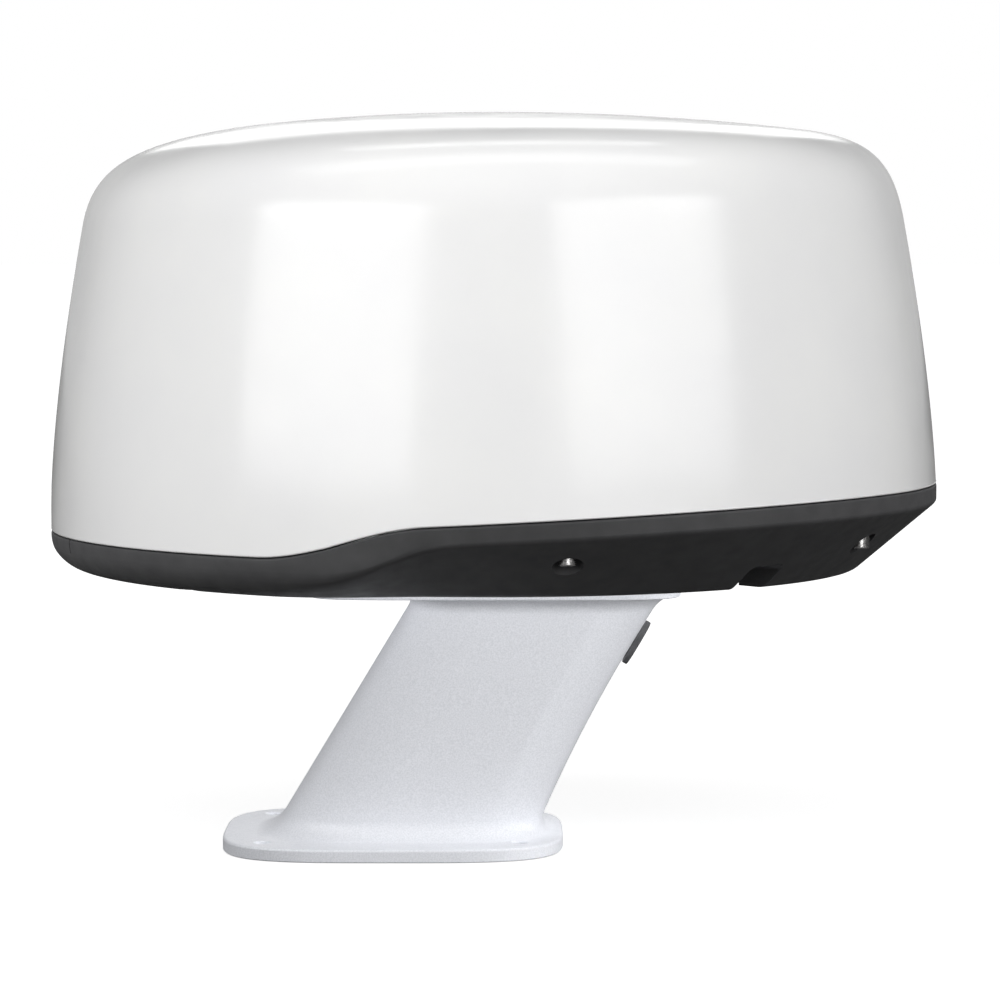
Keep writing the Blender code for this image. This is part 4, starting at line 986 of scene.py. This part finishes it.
def make_world():
    """White where the camera sees it. The object sees a dim studio that is lighter low at the back."""
    world = bpy.data.worlds.new("studio")
    bpy.context.scene.world = world
    world.use_nodes = True
    nodes, links = world.node_tree.nodes, world.node_tree.links
    background = nodes["Background"]
    background.inputs["Color"].default_value = (1, 1, 1, 1)
    split = nodes.new("ShaderNodeSeparateXYZ")
    links.new(nodes.new("ShaderNodeTexCoord").outputs["Generated"], split.inputs["Vector"])

    def remap(value, limits, interpolation):
        node = nodes.new("ShaderNodeMapRange")
        node.interpolation_type = interpolation
        for socket, number in zip(RANGE_SOCKETS, limits):
            node.inputs[socket].default_value = number
        links.new(value, node.inputs["Value"])
        return node.outputs["Result"]

    both = nodes.new("ShaderNodeMath")
    both.operation = "MULTIPLY"
    links.new(remap(split.outputs["Y"], (0.75, 1.0, 0.0, 1.0), "SMOOTHSTEP"), both.inputs[0])
    links.new(remap(split.outputs["Z"], (0.22, 0.5, 1.0, 0.0), "SMOOTHSTEP"), both.inputs[1])
    level = remap(both.outputs["Value"], (0.0, 1.0, STUDIO_DIM, STUDIO_BACK), "LINEAR")
    seen = nodes.new("ShaderNodeLightPath").outputs["Is Camera Ray"]
    choose = nodes.new("ShaderNodeMix")
    links.new(seen, choose.inputs["Factor"])
    links.new(level, choose.inputs["A"])
    choose.inputs["B"].default_value = 1.0
    links.new(choose.outputs["Result"], background.inputs["Strength"])


def area_light(name, place, size, radiance, lit, shadow=True, mirrored=True):
    """A softbox and the pieces it lights. Its place is azimuth, elevation and distance from the radome.

    Azimuth 0 is the port side, and a negative azimuth is towards the bow. A lamp that isn't mirrored
    makes no highlight.
    """
    azimuth, elevation, distance = place
    width, height = size
    light = bpy.data.lights.new(name, "AREA")
    light.shape = "RECTANGLE"
    light.size = width
    light.size_y = height
    light.energy = radiance * math.pi * width * height
    light.use_shadow = shadow
    obj = bpy.data.objects.new(name, light)
    bpy.context.scene.collection.objects.link(obj)
    a, e = math.radians(azimuth), math.radians(elevation)
    direction = Vector((math.sin(a) * math.cos(e), -math.cos(a) * math.cos(e), math.sin(e)))
    obj.location = Vector((0, 0, LAMP_AIM_Z)) + direction * distance
    obj.rotation_euler = direction.to_track_quat("Z", "Y").to_euler()
    obj.visible_camera = False
    obj.visible_glossy = mirrored
    receivers = bpy.data.collections.new(name + "_lights")
    for piece in lit:
        receivers.objects.link(piece)
    obj.light_linking.receiver_collection = receivers


def make_lights():
    """Softboxes shape the radome, and lamps for single pieces even out the light on them."""
    objects = bpy.data.objects
    mast = [objects["mast_mount"], objects["cable_grommet_plug"]]
    dome = [objects["dome_shell"]]
    housing = [objects["lower_housing_shell"]]
    screws = [objects[f"dome_screw_{number}_socket_head"] for number in range(1, 7)]
    rest = [obj for obj in objects if obj.type == "MESH" and obj not in mast]
    both = mast + rest
    lamp = (1.0, 0.5)
    panel = (2.0, 1.0)
    area_light("softbox_bow", (-42, 17, 3.0), (2.5, 1.6), 2.7, rest)
    area_light("softbox_stern", (40, 17, 3.0), (2.4, 1.6), 2.6, rest)
    area_light("overhead", (0, 88, 2.6), (3.4, 0.8), 1.2, both)
    area_light("rear", (180, 21.5, 3.4), (1.7, 0.95), 1.7, both)
    area_light("rear_strip", (180, 61, 3.0), (1.6, 0.36), 2.0, dome)
    area_light("dome_bow", (-58, 24, 3.0), lamp, 26.5, dome, shadow=False, mirrored=False)
    area_light("dome_stern", (56, 24, 3.0), lamp, 25.0, dome, shadow=False, mirrored=False)
    area_light("dome_low", (5, -8, 3.0), lamp, 5.0, dome, shadow=False, mirrored=False)
    area_light("dome_rear", (180, -5, 3.0), lamp, 22.0, dome, shadow=False, mirrored=False)
    area_light("housing_bow", (-80, 20, 3.0), lamp, 30.0, housing, mirrored=False)
    area_light("housing_stern", (80, 35, 3.0), lamp, 30.0, housing, mirrored=False)
    area_light("mast_bow", (-42, 42, 3.0), panel, 7.0, mast, shadow=False)
    area_light("mast_stern", (50, 42, 3.0), panel, 10.5, mast, shadow=False)
    area_light("mast_fore", (-112, 0, 3.0), panel, 4.5, mast, shadow=False, mirrored=False)
    area_light("mast_aft", (75, 0, 3.0), panel, 10.0, mast, shadow=False, mirrored=False)
    area_light("mast_front", (10, -5, 3.0), panel, 3.5, mast, shadow=False, mirrored=False)
    area_light("screw_glint", (12, -5, 3.0), (1.6, 0.5), 5.0, screws, shadow=False)


def make_camera():
    camera = bpy.data.cameras.new("camera")
    camera.lens = 134.92
    camera.sensor_width = 36.0
    camera.clip_start = 0.05
    camera.clip_end = 200.0
    obj = bpy.data.objects.new("camera", camera)
    bpy.context.scene.collection.objects.link(obj)
    obj.location = (0.00355, -2.1604, 0.3455)
    obj.rotation_euler = (math.radians(90 - 3.901), 0, 0)
    bpy.context.scene.camera = obj


make_dome()
make_lower_housing()
make_seal()
make_fasteners()
make_tower()
make_grommet()
finish_nodes()
make_stage()
make_world()
make_lights()
make_camera()
bpy.context.scene.view_settings.view_transform = "Standard"
